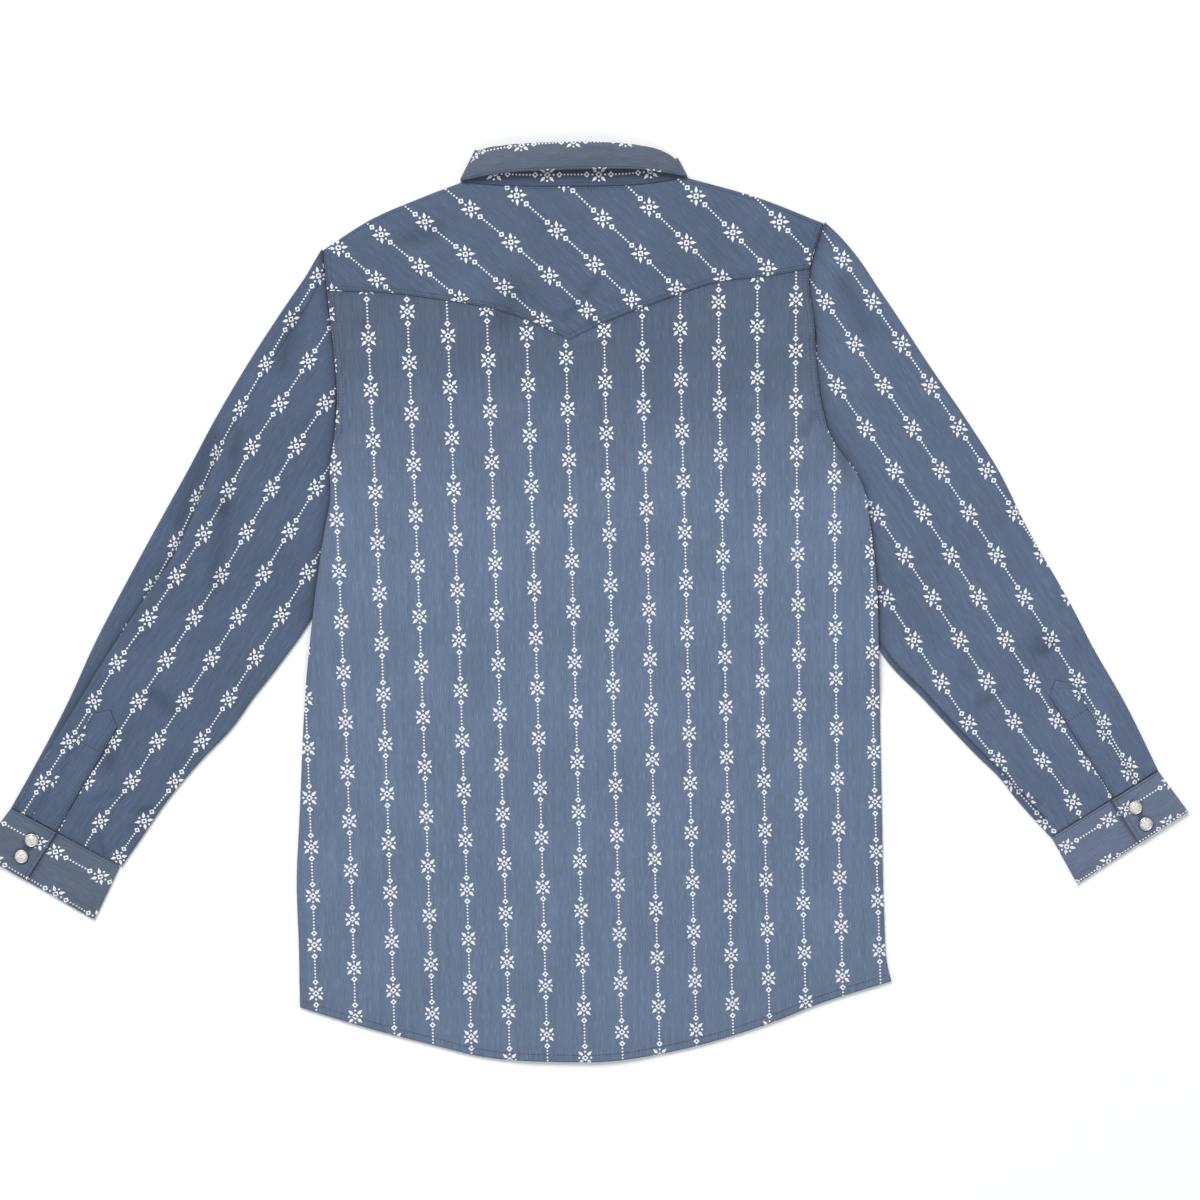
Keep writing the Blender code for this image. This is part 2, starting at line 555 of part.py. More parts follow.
def outward_of(edge, other):
    """Unit directions square to an edge in plan, pointing away from the other edge."""
    tangent = np.gradient(edge, axis=0)
    normal = np.stack([tangent[:, 1], -tangent[:, 0]], 1)
    normal *= np.sign(np.sum(normal * (edge - other), axis=1))[:, None]
    return normal / np.linalg.norm(normal, axis=1)[:, None]


def edge_arc(centre, direction, angles):
    """Points round a folded edge: at each angle over the table, out along direction."""
    arc = [with_height(centre + direction * EDGE_RADIUS * math.cos(a),
                       np.full(len(centre), EDGE_RADIUS * (1 + math.sin(a)))) for a in angles]
    return np.stack(arc, 1)


def line_across(cuff, share):
    """The outer and the inner end of the line at a share of the way from a cuff's seam to its end."""
    corners = np.array(cuff["seam"]) * (1 - share) + np.array(cuff["end"]) * share
    return corners[0], corners[1]


def cuff_section(width, lap):
    """Outer face of a cuff across its width, as (distance from the outer edge, height): the under end,
    round the inner edge, along the table, round the outer edge and back over as the lap."""
    big = (SLEEVE_HEIGHT + LAID_ON) / 2
    small = EDGE_RADIUS
    under = [(d, 2 * small) for d in np.linspace(lap - CUFF_UNDERLAP, width - small, 6)]
    inner = [(width - small + small * math.cos(a), small * (1 + math.sin(a))) for a in ARC_ANGLES]
    table = [(d, 0.0) for d in np.linspace(width - small, big, 5)]
    outer = [(big - big * math.cos(a), big * (1 + math.sin(a))) for a in ARC_ANGLES[::-1]]
    over = [(d, 2 * big) for d in np.linspace(big, lap, 4)]
    return np.array(under + inner + table + outer + over)


def make_cuff(name, finish, group, cuff):
    """Barrel cuff: a strip wound once round the wrist, its lap on top of its under end."""
    rows = []
    for share in even(CUFF_ROWS):
        outer, inner = line_across(cuff, share)
        width = np.linalg.norm(inner - outer)
        section = cuff_section(width, cuff["lap"] * width)
        plan = outer + (inner - outer) / width * section[:, :1]
        rows.append(with_height(plan, section[:, 1]))
    return sheet(name, np.stack(rows), 1, finish, group)


def make_sleeve_placket(name, finish, group, placket, sleeve):
    """Placket strip with a pointed top, laid on the sleeve."""
    across = even(4)[None, :, None]
    share = even(PLACKET_ROWS)[:, None, None]
    foot, head = (np.array(corners[0]) * (1 - across) + np.array(corners[1]) * across
                  for corners in (placket["foot"], placket["head"]))
    run = (head - foot)[0, 2] / np.linalg.norm((head - foot)[0, 2])
    head = head + PLACKET_POINT * (1 - np.abs(2 * across - 1)) * run
    plan = foot * (1 - share) + head * share
    tree = top_of(sleeve)
    height = np.array([[height_over(tree, *point) for point in row] for row in plan]) + LAID_ON + SEAM_GAP
    return sheet(name, with_height(plan, height), 1, finish, group)


# ---------------------------------------------------------------- collar

def collar_run(rows, share_across):
    """Grid of a run of sections, each the line or the quadratic curve that its 2 or 3 points set."""
    sections = dense_curve(rows, STATIONS_PER_ROW)
    points = sections.reshape(len(sections), -1, 3)
    t = np.asarray(share_across)[None, :, None]
    first, last = points[:, None, 0], points[:, None, -1]
    if points.shape[1] == 2:
        grid = first * (1 - t) + last * t
    else:
        grid = first * (1 - t) ** 2 + 2 * points[:, None, 1] * t * (1 - t) + last * t**2
    grid[..., 2] = np.maximum(grid[..., 2], np.array(rows)[:, 2].min())
    return grid


def fold_over(before, after, reach):
    """Rows round the fold between two runs, which end and start on one line at different heights."""
    start, end = before[-1], after[0]
    line = start[-1, :2] - start[0, :2]
    away = np.array((line[1], -line[0])) / np.linalg.norm(line)
    away *= np.sign(away @ (start[0, :2] - before[-3, 0, :2]))
    return np.stack([np.column_stack([start[:, :2] + away * reach * math.cos(a),
                                      start[:, 2] + (end[:, 2] - start[:, 2]) * (1 + math.sin(a)) / 2])
                     for a in FOLD_ANGLES])


def make_collar_strip(name, finish, group, tables, share_across, reach):
    """A strip round the neck, in three runs with a fold between them."""
    runs = [collar_run(table, share_across) for table in tables]
    folds = [fold_over(before, after, reach) for before, after in zip(runs[:-1], runs[1:], strict=True)]
    return sheet(name, np.concatenate([runs[0], folds[0], runs[1], folds[1], runs[2]]), -1, finish, group)


# ---------------------------------------------------------------- snaps

def hidden_snap_place(number):
    """Centre of a front snap on the table side of the band."""
    y = HIDDEN_SNAP_TOP - number * HIDDEN_SNAP_PITCH
    x = (BAND_LEFT + BAND_RIGHT) / 2
    return x, y, float(neck_lift(np.array(x), np.array(y)))


def make_snap(name, finish, group, profile, place):
    """A snap turned from a profile of (radius, height) that runs down its outer side."""
    points = [(radius, 0.0, height) for radius, height in profile]
    edges = [(k, k + 1) for k in range(len(points) - 1)]
    made = new_object(name, points, edges, [], finish, group)
    made.location = [c * MM for c in place]
    turn = made.modifiers.new("turn", "SCREW")
    turn.steps = turn.render_steps = SNAP_SIDES
    turn.use_merge_vertices = True
    turn.merge_threshold = MERGE
    turn.use_smooth_shade = True
    weld = made.modifiers.new("close", "WELD")
    weld.merge_threshold = MERGE
    return made


def cuff_snap_places(cuff):
    """Centres of the two snaps on a cuff's lap."""
    places = []
    for share in cuff["snaps"]:
        outer, inner = line_across(cuff, share)
        width = np.linalg.norm(inner - outer)
        plan = outer + (inner - outer) / width * (cuff["lap"] * width - cuff["snap_inset"])
        places.append((*plan, SLEEVE_HEIGHT + LAID_ON + SEAM_GAP))
    return places


def main():
    for old in list(bpy.data.objects):
        bpy.data.objects.remove(old, do_unlink=True)
    shirt, cutters = collection("western snap shirt"), collection("cutters")
    denim = material("chambray", DENIM_BLUE, 0.85)
    collar_cloth = material("collar chambray", COLLAR_BLUE, 0.85)
    pearl = material("pearl", PEARL, 0.25)

    left = body_edge(ARMHOLE_LEFT_YOKE, ARMHOLE_LEFT_BACK, SIDE_LEFT)
    right = body_edge(ARMHOLE_RIGHT_YOKE, ARMHOLE_RIGHT_BACK, SIDE_RIGHT)
    make_yoke(denim, shirt, left, right)
    make_back(denim, shirt, left, right)
    make_front("front_left", denim, shirt, left, SHOULDER_LEFT, NECK_FRONT_LEFT, BAND_LEFT - SEAM_GAP,
               (0.0, HEM_SHARE_LEFT), lambda x: 0.0)
    make_front("front_right", denim, shirt, right, SHOULDER_RIGHT[::-1], NECK_FRONT_RIGHT[::-1],
               RIGHT_FRONT_EDGE, (1.0, HEM_SHARE_RIGHT), lap_lift)
    make_placket_band(denim, shirt, cutters)

    sleeve_left = make_sleeve("sleeve_left", denim, shirt, left, -1, SLEEVE_LEFT_OUTER, SLEEVE_LEFT_INNER,
                              OVERLAP)
    sleeve_right = make_sleeve("sleeve_right", denim, shirt, right, 1, SLEEVE_RIGHT_OUTER,
                               SLEEVE_RIGHT_INNER, ())
    make_cuff("cuff_left", denim, shirt, CUFF_LEFT)
    make_cuff("cuff_right", denim, shirt, CUFF_RIGHT)
    make_sleeve_placket("sleeve_placket_left", denim, shirt, PLACKET_LEFT, sleeve_left)
    make_sleeve_placket("sleeve_placket_right", denim, shirt, PLACKET_RIGHT, sleeve_right)

    make_collar_strip("collar_stand", collar_cloth, shirt, STAND, even(STAND_COLUMNS), STAND_FOLD)
    make_collar_strip("collar_fall", collar_cloth, shirt, FALL, FALL_SHARES, FALL_FOLD)

    for side, cuff in (("left", CUFF_LEFT), ("right", CUFF_RIGHT)):
        for number, place in enumerate(cuff_snap_places(cuff)):
            make_snap(f"cuff_snap_{side}_{number + 1}", pearl, shirt, SNAP_PROFILE, place)
    for number in range(HIDDEN_SNAPS):
        make_snap(f"front_snap_{number + 1}", pearl, shirt, FLUSH_PROFILE, hidden_snap_place(number))


main()
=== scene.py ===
"""Western snap shirt, laid flat on its front with its back up: cloth, print, sewing and snaps.

Lengths are in millimetres until a mesh is made. From above, +X runs to the right sleeve, +Y to the
collar and +Z up from the surface that the shirt lies on. Every piece of cloth is an outer surface on a
grid of rows and columns, with its wall behind it.
"""
import math

import bpy
import numpy as np
from bpy.props import FloatProperty, FloatVectorProperty, PointerProperty
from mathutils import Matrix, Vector


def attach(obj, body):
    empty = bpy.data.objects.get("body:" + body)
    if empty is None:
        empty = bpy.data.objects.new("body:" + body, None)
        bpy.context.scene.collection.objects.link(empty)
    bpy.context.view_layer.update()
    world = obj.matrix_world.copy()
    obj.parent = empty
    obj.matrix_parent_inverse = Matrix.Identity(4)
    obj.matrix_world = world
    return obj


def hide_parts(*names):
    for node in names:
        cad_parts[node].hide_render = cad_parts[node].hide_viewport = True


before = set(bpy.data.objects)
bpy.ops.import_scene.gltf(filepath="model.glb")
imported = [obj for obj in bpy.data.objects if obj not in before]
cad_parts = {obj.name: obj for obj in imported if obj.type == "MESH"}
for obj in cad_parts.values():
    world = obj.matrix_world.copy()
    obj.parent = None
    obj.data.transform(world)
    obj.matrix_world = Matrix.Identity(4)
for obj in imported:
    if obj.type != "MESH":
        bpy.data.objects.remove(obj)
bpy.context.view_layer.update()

bl_info = {
    "name": "Western snap shirt",
    "version": (1, 0, 0),
    "blender": (4, 5, 0),
    "location": "View3D > Sidebar > Shirt",
    "description": "Dresses the packed shirt: cloth shells, print, sewing, snaps and stage",
    "category": "Object",
}

MM = 0.001
UP, DOWN = 1, -1

# ---------------------------------------------------------------- walls and gaps
CAD_WALL = 1.0
LAID_ON = 1.3
LAYER_GAP = 1.0
SEAM_GAP = 0.3
SLOPED_GAP = SEAM_GAP / math.cos(math.radians(50))
EDGE_RADIUS = 1.5
SLEEVE_HEIGHT = 2 * EDGE_RADIUS
HEM_DEPTH = 7.2            # of the turned hem
FELL_WIDTH = 6.6           # of the raised seam along an armhole
YOKE_PROUD = 0.55          # of the yoke's lower edge over the back
UNDER_YOKE = 5.0           # how far the back runs under the yoke
YOKE_DIP, YOKE_DIP_OVER = 0.6, (-0.4, 1.6)      # how much lower it lies there
UNDER_STAND = 3.0          # how far the yoke runs under the collar's stand

# ---------------------------------------------------------------- pressed edges and gathers
# A depth or height, and the distances from the edge or seam between which it comes in
EDGE_ROLL, EDGE_ROLL_OVER = 0.45, (1.5, 0.0)
FELL_PROUD, HEM_PROUD = 0.35, 0.4
SIDE_ROLL, SIDE_ROLL_OVER = 0.6, (7.0, 0.0)
YOKE_EDGE_ROLL, PROUD_OVER = 0.25, (18.0, 4.0)
PRESSED_ROLL, PRESSED_OVER = 0.4, (1.2, 0.0)    # of a placket's and a lap's edge
FALL_ROLL = 0.35
GROOVE_WIDTH = 1.1         # of the groove that a row of stitches draws in
GATHER_HEIGHT = {"armhole": 0.14, "side": 0.12, "hem": 0.16, "yoke": 0.17, "sleeve": 0.13, "cuff": 0.1}
YOKE_GATHERS_OVER = (30.0, 6.0)
WAVES_FROM_SIDE, WAVES_FROM_HEM = (0.0, 22.0), (0.0, 16.0)
SHOULDER_DROP, SHOULDER_DROP_OVER = 0.75, (9.0, 0.0)
NECK_DROP, NECK_DROP_OVER = 0.65, (5.5, 2.0)
FRONT_RISE, FRONT_RISE_OVER = 0.7, (8.0, 0.0)   # of a front's side towards the back's
FRONT_RISE_SHARE = 0.4     # of it that is left beside an armhole

# ---------------------------------------------------------------- outlines, each row (x, y)
SHOULDER_LEFT = ((-238.5, 322.5), (-195, 350.5), (-150, 370), (-113, 384))
NECK_BACK = ((-113, 384), (-76, 381), (-9, 380), (53, 382), (97, 388.5))
SHOULDER_RIGHT = ((97, 388.5), (158.5, 371.5), (221.5, 347))
YOKE_SEAM_LEFT = ((-235, 285), (-173, 282.5), (-126, 276), (-83.5, 268.5), (-62, 262), (-32, 249.5),
                  (-12.5, 240))
YOKE_SEAM_RIGHT = ((-12.5, 240), (14, 253), (58, 270.5), (87.5, 281.5), (126, 293.5), (166, 298),
                   (208.5, 305.5))
ARMHOLE_LEFT_YOKE = ((-238.5, 322.5), (-237, 303), (-235, 285))
ARMHOLE_LEFT_BACK = ((-235, 285), (-232, 258), (-228, 222), (-226, 185), (-228, 150))
ARMHOLE_RIGHT_YOKE = ((221.5, 347), (214, 325), (208.5, 305.5))
ARMHOLE_RIGHT_BACK = ((208.5, 305.5), (208, 286), (212, 262), (215, 217), (218, 190), (224, 160))
SIDE_LEFT = ((-228, 150), (-232, 127), (-232, 93), (-237.5, 62.5), (-244, 19.5), (-249.5, -27),
             (-254, -73), (-260.5, -200), (-263, -257), (-261, -318), (-260, -373.5))
SIDE_RIGHT = ((224, 160), (230, 147), (242, 130), (257, 107), (261.5, 90), (263.5, 75), (269.5, 25),
              (272, -44), (273, -100), (275, -200), (277, -290), (280, -335), (283.5, -349.5))
HEM = ((-260, -373.5), (-203, -391), (-136, -408.5), (-94.5, -418.5), (-19, -423.7), (16, -423.7),
       (87.5, -413), (169.5, -389), (221, -369), (283.5, -349.5))
NECK_FRONT_LEFT = ((-113, 384), (-105, 364), (-88.5, 340), (-60, 318), (-28, 306))
NECK_FRONT_RIGHT = ((-24, 305), (8, 306), (40, 318), (70, 340), (88, 364), (97, 388.5))
BAND_LEFT, BAND_RIGHT = -28.0, 8.0
BAND_TOP, BAND_BOTTOM = 305.0, -423.4
BAND_ROW = 5.0              # its rows of stitches, in from its edges
YOKE_ROWS = (1.5, 4.3)      # rows above the yoke's seam
ARMHOLE_ROWS = (1.7, 5.6)
NECK_ROWS, NECK_ROW_FROM, NECK_ROW_TO = (0.9, 2.6), -72, 50
SHOULDER_ROW = 3.2
HEM_ROW = HEM_DEPTH - 0.6
RIGHT_FRONT_EDGE = -24.0

SLEEVES = {
    "left": {
        "outer": ((-238.5, 322.5), (-252, 302.5), (-278.5, 264), (-338.5, 166.5), (-363.5, 119.5),
                  (-394.5, 63.5), (-421, 14.5), (-449.5, -40.5), (-471, -88), (-505, -153.5),
                  (-525.5, -190)),
        "inner": ((-221, 151), (-226, 105), (-235, 50), (-246, -8), (-279.5, -59.5), (-304, -91),
                  (-321, -115), (-353, -149), (-380, -181), (-410, -224), (-424, -244)),
        "armhole": (ARMHOLE_LEFT_YOKE, ARMHOLE_LEFT_BACK), "outward": -1,
    },
    "right": {
        "outer": ((221.5, 347), (240, 331), (277, 280), (319.5, 215.5), (354.5, 164), (384, 117),
                  (406, 72), (448, -2), (471.5, -47), (497, -91), (524, -145.5), (529, -156)),
        "inner": ((221, 161), (226, 120), (240, 60), (258, -5), (274, -47), (314, -91),
                  (361.5, -141.5), (383.5, -163), (397.5, -181), (430, -217)),
        "armhole": (ARMHOLE_RIGHT_YOKE, ARMHOLE_RIGHT_BACK), "outward": 1,
    },
}
UNDERARM_PACE = 0.72        # under 1 it sets the first rings further apart under the arm
SLEEVE_LENGTH = 600.0
SLEEVE_AT_ARMHOLE, SLEEVE_AT_CUFF = 180.0, 130.0       # its width there
ARMHOLE_SINK, ARMHOLE_SINK_OVER = 0.5, (7.0, 0.0)      # of a sleeve's top beside the armhole's seam
ARMHOLE_GROOVE, ARMHOLE_GROOVE_OVER = 0.4, (1.6, 0.0)
CUFF_SINK, CUFF_SINK_OVER = 0.2, (6.0, 0.0)
BELOW_SPANS = 20            # across the under side of a sleeve
ARC_ANGLES = np.radians([60, 30, 0, -30, -60])         # of the points round a sleeve's inner edge
TOP_COLUMN = BELOW_SPANS + 1 + len(ARC_ANGLES)          # first column of a sleeve's top in its rings
BOW_PLACES = np.arange(41) / 40     # shares across a sleeve at which the armhole's curve is read
MIRROR_TURNS_OVER = 40.0    # millimetres over which the print of the under side settles to one direction

CUFF_GROOVE, CUFF_GROOVE_AT = 0.28, 2.2        # along both its long edges
CUFF_ROLL, CUFF_ROLL_OVER = 0.35, (1.4, 0.0)
LAP_GROOVE = 0.3
DIMPLE, DIMPLE_OVER = 0.35, (12.5, 6.6)         # the dip round a snap
# Cuffs: corners (x, y) of the outer and the inner edge at the sleeve and at the end, the share at which
# the lap's free edge crosses, the two snaps' places as shares of the depth and their inset from that
# edge; then the print's repeats at distances along the wound strip, and its first row and pitch
CUFFS = {
    "left": {"seam": ((-525.4, -190.2), (-425.9, -244.2)), "end": ((-556.4, -231), (-449, -293)),
             "lap": 0.42, "snaps": (0.33, 0.67), "snap_inset": 15.6, "lap_from": 237.7,
             "repeats": ((57.4, 0), (104.7, 1), (230.4, 4), (277.7, 5)), "rows": (15.8, 32.9)},
    "right": {"seam": ((528.9, -156.2), (430.9, -217.2)), "end": ((556.4, -193.5), (454.5, -260)),
              "lap": 0.44, "snaps": (0.37, 0.75), "snap_inset": 14.7, "lap_from": 238.8,
              "repeats": ((63.4, 0), (109.3, 1), (235.8, 4), (283.0, 5)), "rows": (13.9, 31.0)},
}
CUFF_UNDERLAP = 24.0
CUFF_END_POINTS = 40        # across the under end, which faces up
CUFF_LAP_SPANS = 24
CUFF_ROW = 0.045            # its rows of stitches, as a share of its depth from its seam and its end
LAP_ROW = 3.6               # the row along the lap's free edge
PLACKETS = {
    "left": {"foot": ((-506.9, -199.2), (-483.1, -212)), "head": ((-451, -103), (-427.5, -116.5))},
    "right": {"foot": ((510.1, -166.8), (487.1, -181.1)), "head": ((451, -75.5), (428.6, -88.3))},
}
PLACKET_POINT = 11.0
PLACKET_LENGTH = 110.0      # to the shoulders of the point
PLACKET_RUN = PLACKET_LENGTH + 5.0     # to half-way up the point
PLACKET_WIDTH = 27.0
PLACKET_OVER = 1.15         # its outer face over its sleeve's
PLACKET_GROOVE, PLACKET_GROOVE_AT = 0.28, 2.4
PLACKET_ROWS = (0.09, 0.17)            # its rows of stitches, as shares of its width from its edges
HEAD_ROW, HEAD_ROW_LEAN = 0.9955, 0.35 # where those rows cross the head: share less lean times their own
PLACKET_ROW_OVER = 1.0      # their height over the sleeve
TACK_SHARE = 0.75           # of the straight cross stitching, from the cuff to those shoulders
ROW_STEPS, HEAD_STEPS, TACK_STEPS = 60, 24, 30         # points of a row of stitches
ROW_INSET = 3.0             # of a cuff's rows from its ends

HIDDEN_SNAPS = 7
HIDDEN_SNAP_TOP = 286.0
HIDDEN_SNAP_PITCH = 92.0

# Collar stand and fall, as sections: see stand_grid and fall_grid
STAND = (
    ((8, 305.6, 1.3, 8, 333.5, 1.3), (-28, 307.5, 1.3, -24, 335, 1.3), (-59.5, 319.3, 1.3, -46, 344, 1.3),
     (-87.4, 341, 1.3, -66, 361, 1.3), (-103.4, 364.6, 1.3, -81, 383, 1.3),
     (-109.6, 385.1, 1.3, -95.5, 410.6, 1.3)),
    ((-109.6, 385.1, 4.9, -95.5, 410.6, 6.4), (-76, 381.9, 5.0, -70, 414, 8.2), (-9, 381, 6.0, -9, 416, 9.4),
     (53, 382.9, 5.2, 50, 413.5, 8.2), (92.6, 389.1, 4.9, 84.3, 404.2, 6.4)),
    ((92.6, 389.1, 1.3, 84.3, 404.2, 1.3), (86.6, 364.6, 1.3, 66, 381, 1.3), (68.6, 341, 1.3, 48, 361, 1.4),
     (39, 319.3, 1.6, 26, 344, 1.7), (8, 307.5, 2.6, 4, 335, 2.6), (-24, 305.6, 2.6, -24, 333.5, 2.6)),
)
STAND_FOLD = 1.8
STAND_ROW = 1.4             # column of the stand's row of stitches
ON_BACK = 4.0               # height over which a part of the collar lies on the back
FALL_ROW_OVER, STAND_ROW_OVER = 4.5, 4.8               # heights over which stitches show on top
FALL = (
    ((-18, 337, 0, -40, 300, 0, -62, 262, 0), (-42, 345, 0, -60, 312, 0, -77, 280, 0),
     (-66, 362, 0, -80, 338, 0, -95, 312, 0), (-82, 383, 0, -95, 366, 0, -109, 347, 0),
     (-96.9, 413.3, 0, -103.8, 399.5, 0, -110.7, 385.7, 0)),
    ((-96.9, 413.3, 8.4, -103.8, 399.5, 13, -110.7, 385.7, 8.6),
     (-88, 414.2, 9.2, -91.5, 419.5, 16.5, -96, 388.6, 10.6),
     (-72, 414.5, 10.6, -74, 425.5, 21, -77, 391.5, 13.5), (-30, 416.6, 11.4, -30, 428.6, 25, -30, 394, 15.8),
     (14, 417.3, 11.8, 14, 428.4, 28, 14, 395.2, 16.8), (50, 414.2, 10.8, 50, 425.9, 24, 52, 395, 14.6),
     (72, 409, 9.6, 73, 420.5, 18, 78, 392, 11.5), (80, 407.2, 8.8, 83, 411.5, 15, 88, 390.6, 9.4),
     (85.3, 405.9, 8.0, 89.5, 397.8, 11.5, 93.7, 389.7, 8.2)),
    ((85.3, 405.9, 0, 89.5, 397.8, 0, 93.7, 389.7, 0), (68, 383, 0, 80, 366, 0, 91, 347, 0),
     (48, 362, 0, 62, 338, 0, 76, 312, 0), (25, 345, 0, 42, 312, 0, 58, 280, 0),
     (1, 337, 0, 22, 300, 0, 43, 262, 0)),
)
FALL_FOLD = 2.5
FALL_ROW = 28.0             # column of the fall's row of stitches
# Small creases on the roll, as in BODY_FOLDS
FALL_CREASES = ((27, 411, 29, 400, 1.5, -0.9), (8, 413, 24, 412.5, 1.2, -0.7), (-6, 410, 6, 409.5, 1.2, -0.4),
                (66, 402, 82, 396, 3.0, 0.5), (-96, 396, -70, 402, 4.0, 0.5), (-40, 402, 10, 404, 5.0, 0.35),
                (-62, 408, -50, 402, 2.2, -0.5))

# ---------------------------------------------------------------- where layers lie on layers
NECK_RISE_LEFT, NECK_RISE_RIGHT, NECK_RISE_Y = (-156, -126), (140, 110), (180, 250)
BAND_RISE_FRONT = (44, 14)
BAND_RISE_BACK_LEFT, BAND_RISE_BACK_RIGHT = (-96, -36), (80, 20)
SLEEVE_RISE_TOP, SLEEVE_RISE_FOOT = (210, 158), (-115, -62)
ON_SLEEVE_LEFT, ON_SLEEVE_RIGHT = (70, 12), (88, 32)
BILLOW_LEFT, BILLOW_RIGHT, BILLOW_TOP, BILLOW_FOOT = (-225, -120), (205, 110), (350, 240), (-400, -300)
BODY_BILLOW = 1.4
FOLDS_END_X, FOLDS_END_Y = (262, 236), (372, 345)
SLEEVE_BILLOW = 1.6
SLEEVE_BILLOW_START, SLEEVE_BILLOW_END = (0.15, 0.4), (1.0, 0.8)
FOLDS_END_CUFF = (1.0, 0.93)

# ---------------------------------------------------------------- soft folds
FOLD_STRENGTH = 1.5         # all heights are multiplied by it
# Each row: start x, y, end x, y, half width, height
BODY_FOLDS = (
    (-92, 330, -145, 312, 16, 1.0),
    (-60, 285, -72, 262, 14, -0.9),
    (-12, 236, 20, 246, 7, 1.3),
    (246, 165, 200, 128, 12, 1.2),
    (214, 250, 196, 232, 9, 0.8),
    (-262, -332, -230, -322, 8, 1.0),
    (-120, 60, -105, -260, 34, 0.8),
    (95, 120, 120, -280, 38, 0.8),
    (-10, -60, 0, -330, 30, -0.6),
    (-14, 244, 12, 258, 4, -0.5),
    (2, 236, 26, 240, 4, 0.6),
    (204, 252, 222, 240, 5, 0.7),
    (-226, 276, -214, 262, 5, 0.6),
    (-218, 270, -202, 252, 6, -0.5),
    (-296, -338, -262, -350, 4, -0.7),
    (-250, -318, -244, -350, 5, 0.7),
    (-180, 330, -150, 300, 12, 0.6),
    (60, 330, 130, 316, 16, 0.5),
    (-190, -60, -176, -210, 22, 0.5),
    (210, -40, 216, -230, 20, 0.6),
    (180, 250, 150, 180, 16, 0.5),
    (-15.5, 259, 13, 294.5, 5, -0.7),
    (-134.5, 340.5, -165.5, 327.5, 9, -0.8),
    (-28, 262, -46, 276, 5, -0.5),
    (199, 253, 207, 251, 2.2, -0.5),
    (199, 240.5, 207, 237.5, 2.2, -0.5),
    (213.6, 171, 204, 152, 5, -0.7),
    (239, 134, 244, 111, 5, -0.7),
)
SLEEVE_FOLDS = (
    (-338, 150, -372, 70, 9, -0.8),
    (-330, 120, -366, 40, 12, 1.0),
    (-424, -165, -470, -190, 12, 1.2),
    (420, -10, 452, -30, 14, 1.3),
    (370, -78, 402, -96, 13, 1.1),
    (425, -160, 470, -170, 11, 1.0),
    (366, -95, 388, -82, 6, -1.0),
    (425.5, -46, 435, -38.5, 5, -0.9),
    (404, -176, 420, -186, 4, -0.6),
    (-494, -190, -481, -202, 4, -0.8),
    (-417, -195, -398, -192, 4, -0.9),
    (-451.5, -186, -435, -178.5, 4, -0.8),
    (-444, -218, -440.5, -231, 3, -0.7),
    (-393.5, -86.5, -378, -101, 7, -0.9),
    (-462, -225, -452, -214, 4, 0.7),
    (-392, 78, -378, 60, 5, 0.6),
    (-316, 155, -330, 85, 7, -1.0),
    (-330, 85, -338, 15, 8, -0.8),
    (-438, -142, -424, -180, 8, -0.9),
    (-408, -178, -422, -206, 7, 0.8),
    (-476, -152, -452, -176, 9, 0.7),
    (438, -10, 418, -44, 9, -0.8),
    (386, -92, 352, -70, 9, -0.6),
    (300, 240, 330, 190, 14, 0.6),
    (240, 292, 262, 250, 9, -0.9),
    (-262, 262, -276, 216, 9, -0.8),
    (-300, 200, -322, 150, 12, 0.6),
)
# Slow waves over all cloth: wavelength, direction in degrees, phase, height
WAVES = ((96, 24, 0.4, 0.24), (71, 112, 1.9, 0.2), (57, 68, 3.1, 0.13), (133, 160, 5.0, 0.3),
         (41, 8, 2.2, 0.08))

# The long fold down the left sleeve. Rows: share along the sleeve, share across to its edge, height of
# its edge, how far the cloth goes back under it, cloth hidden in it, and over what width that is drawn in
LONG_FOLD = (
    (0.00, 0.100, 0.0, 0.0, 0.0, 30.0),
    (0.10, 0.100, 0.1, 0.0, 0.0, 30.0),
    (0.20, 0.097, 0.4, 0.1, 3.6, 26.0),
    (0.27, 0.097, 0.8, 0.2, 6.0, 22.0),
    (0.34, 0.108, 1.3, 0.5, 9.0, 14.0),
    (0.40, 0.134, 1.8, 1.0, 12.5, 6.0),
    (0.45, 0.160, 2.2, 1.6, 16.5, 2.5),
    (0.50, 0.171, 2.5, 2.0, 19.5, 1.2),
    (0.55, 0.157, 2.6, 2.2, 21.5, 1.0),
    (0.60, 0.142, 2.6, 2.2, 23.0, 1.0),
    (0.66, 0.125, 2.5, 2.2, 27.0, 1.0),
    (0.72, 0.103, 2.3, 2.0, 30.5, 1.0),
    (0.78, 0.072, 2.0, 1.8, 34.0, 1.0),
    (0.84, 0.044, 1.5, 1.2, 39.0, 1.0),
    (0.90, 0.022, 0.8, 0.6, 42.0, 1.0),
    (0.95, 0.013, 0.2, 0.2, 44.0, 1.0),
    (1.00, 0.012, 0.0, 0.0, 45.0, 1.0),
)
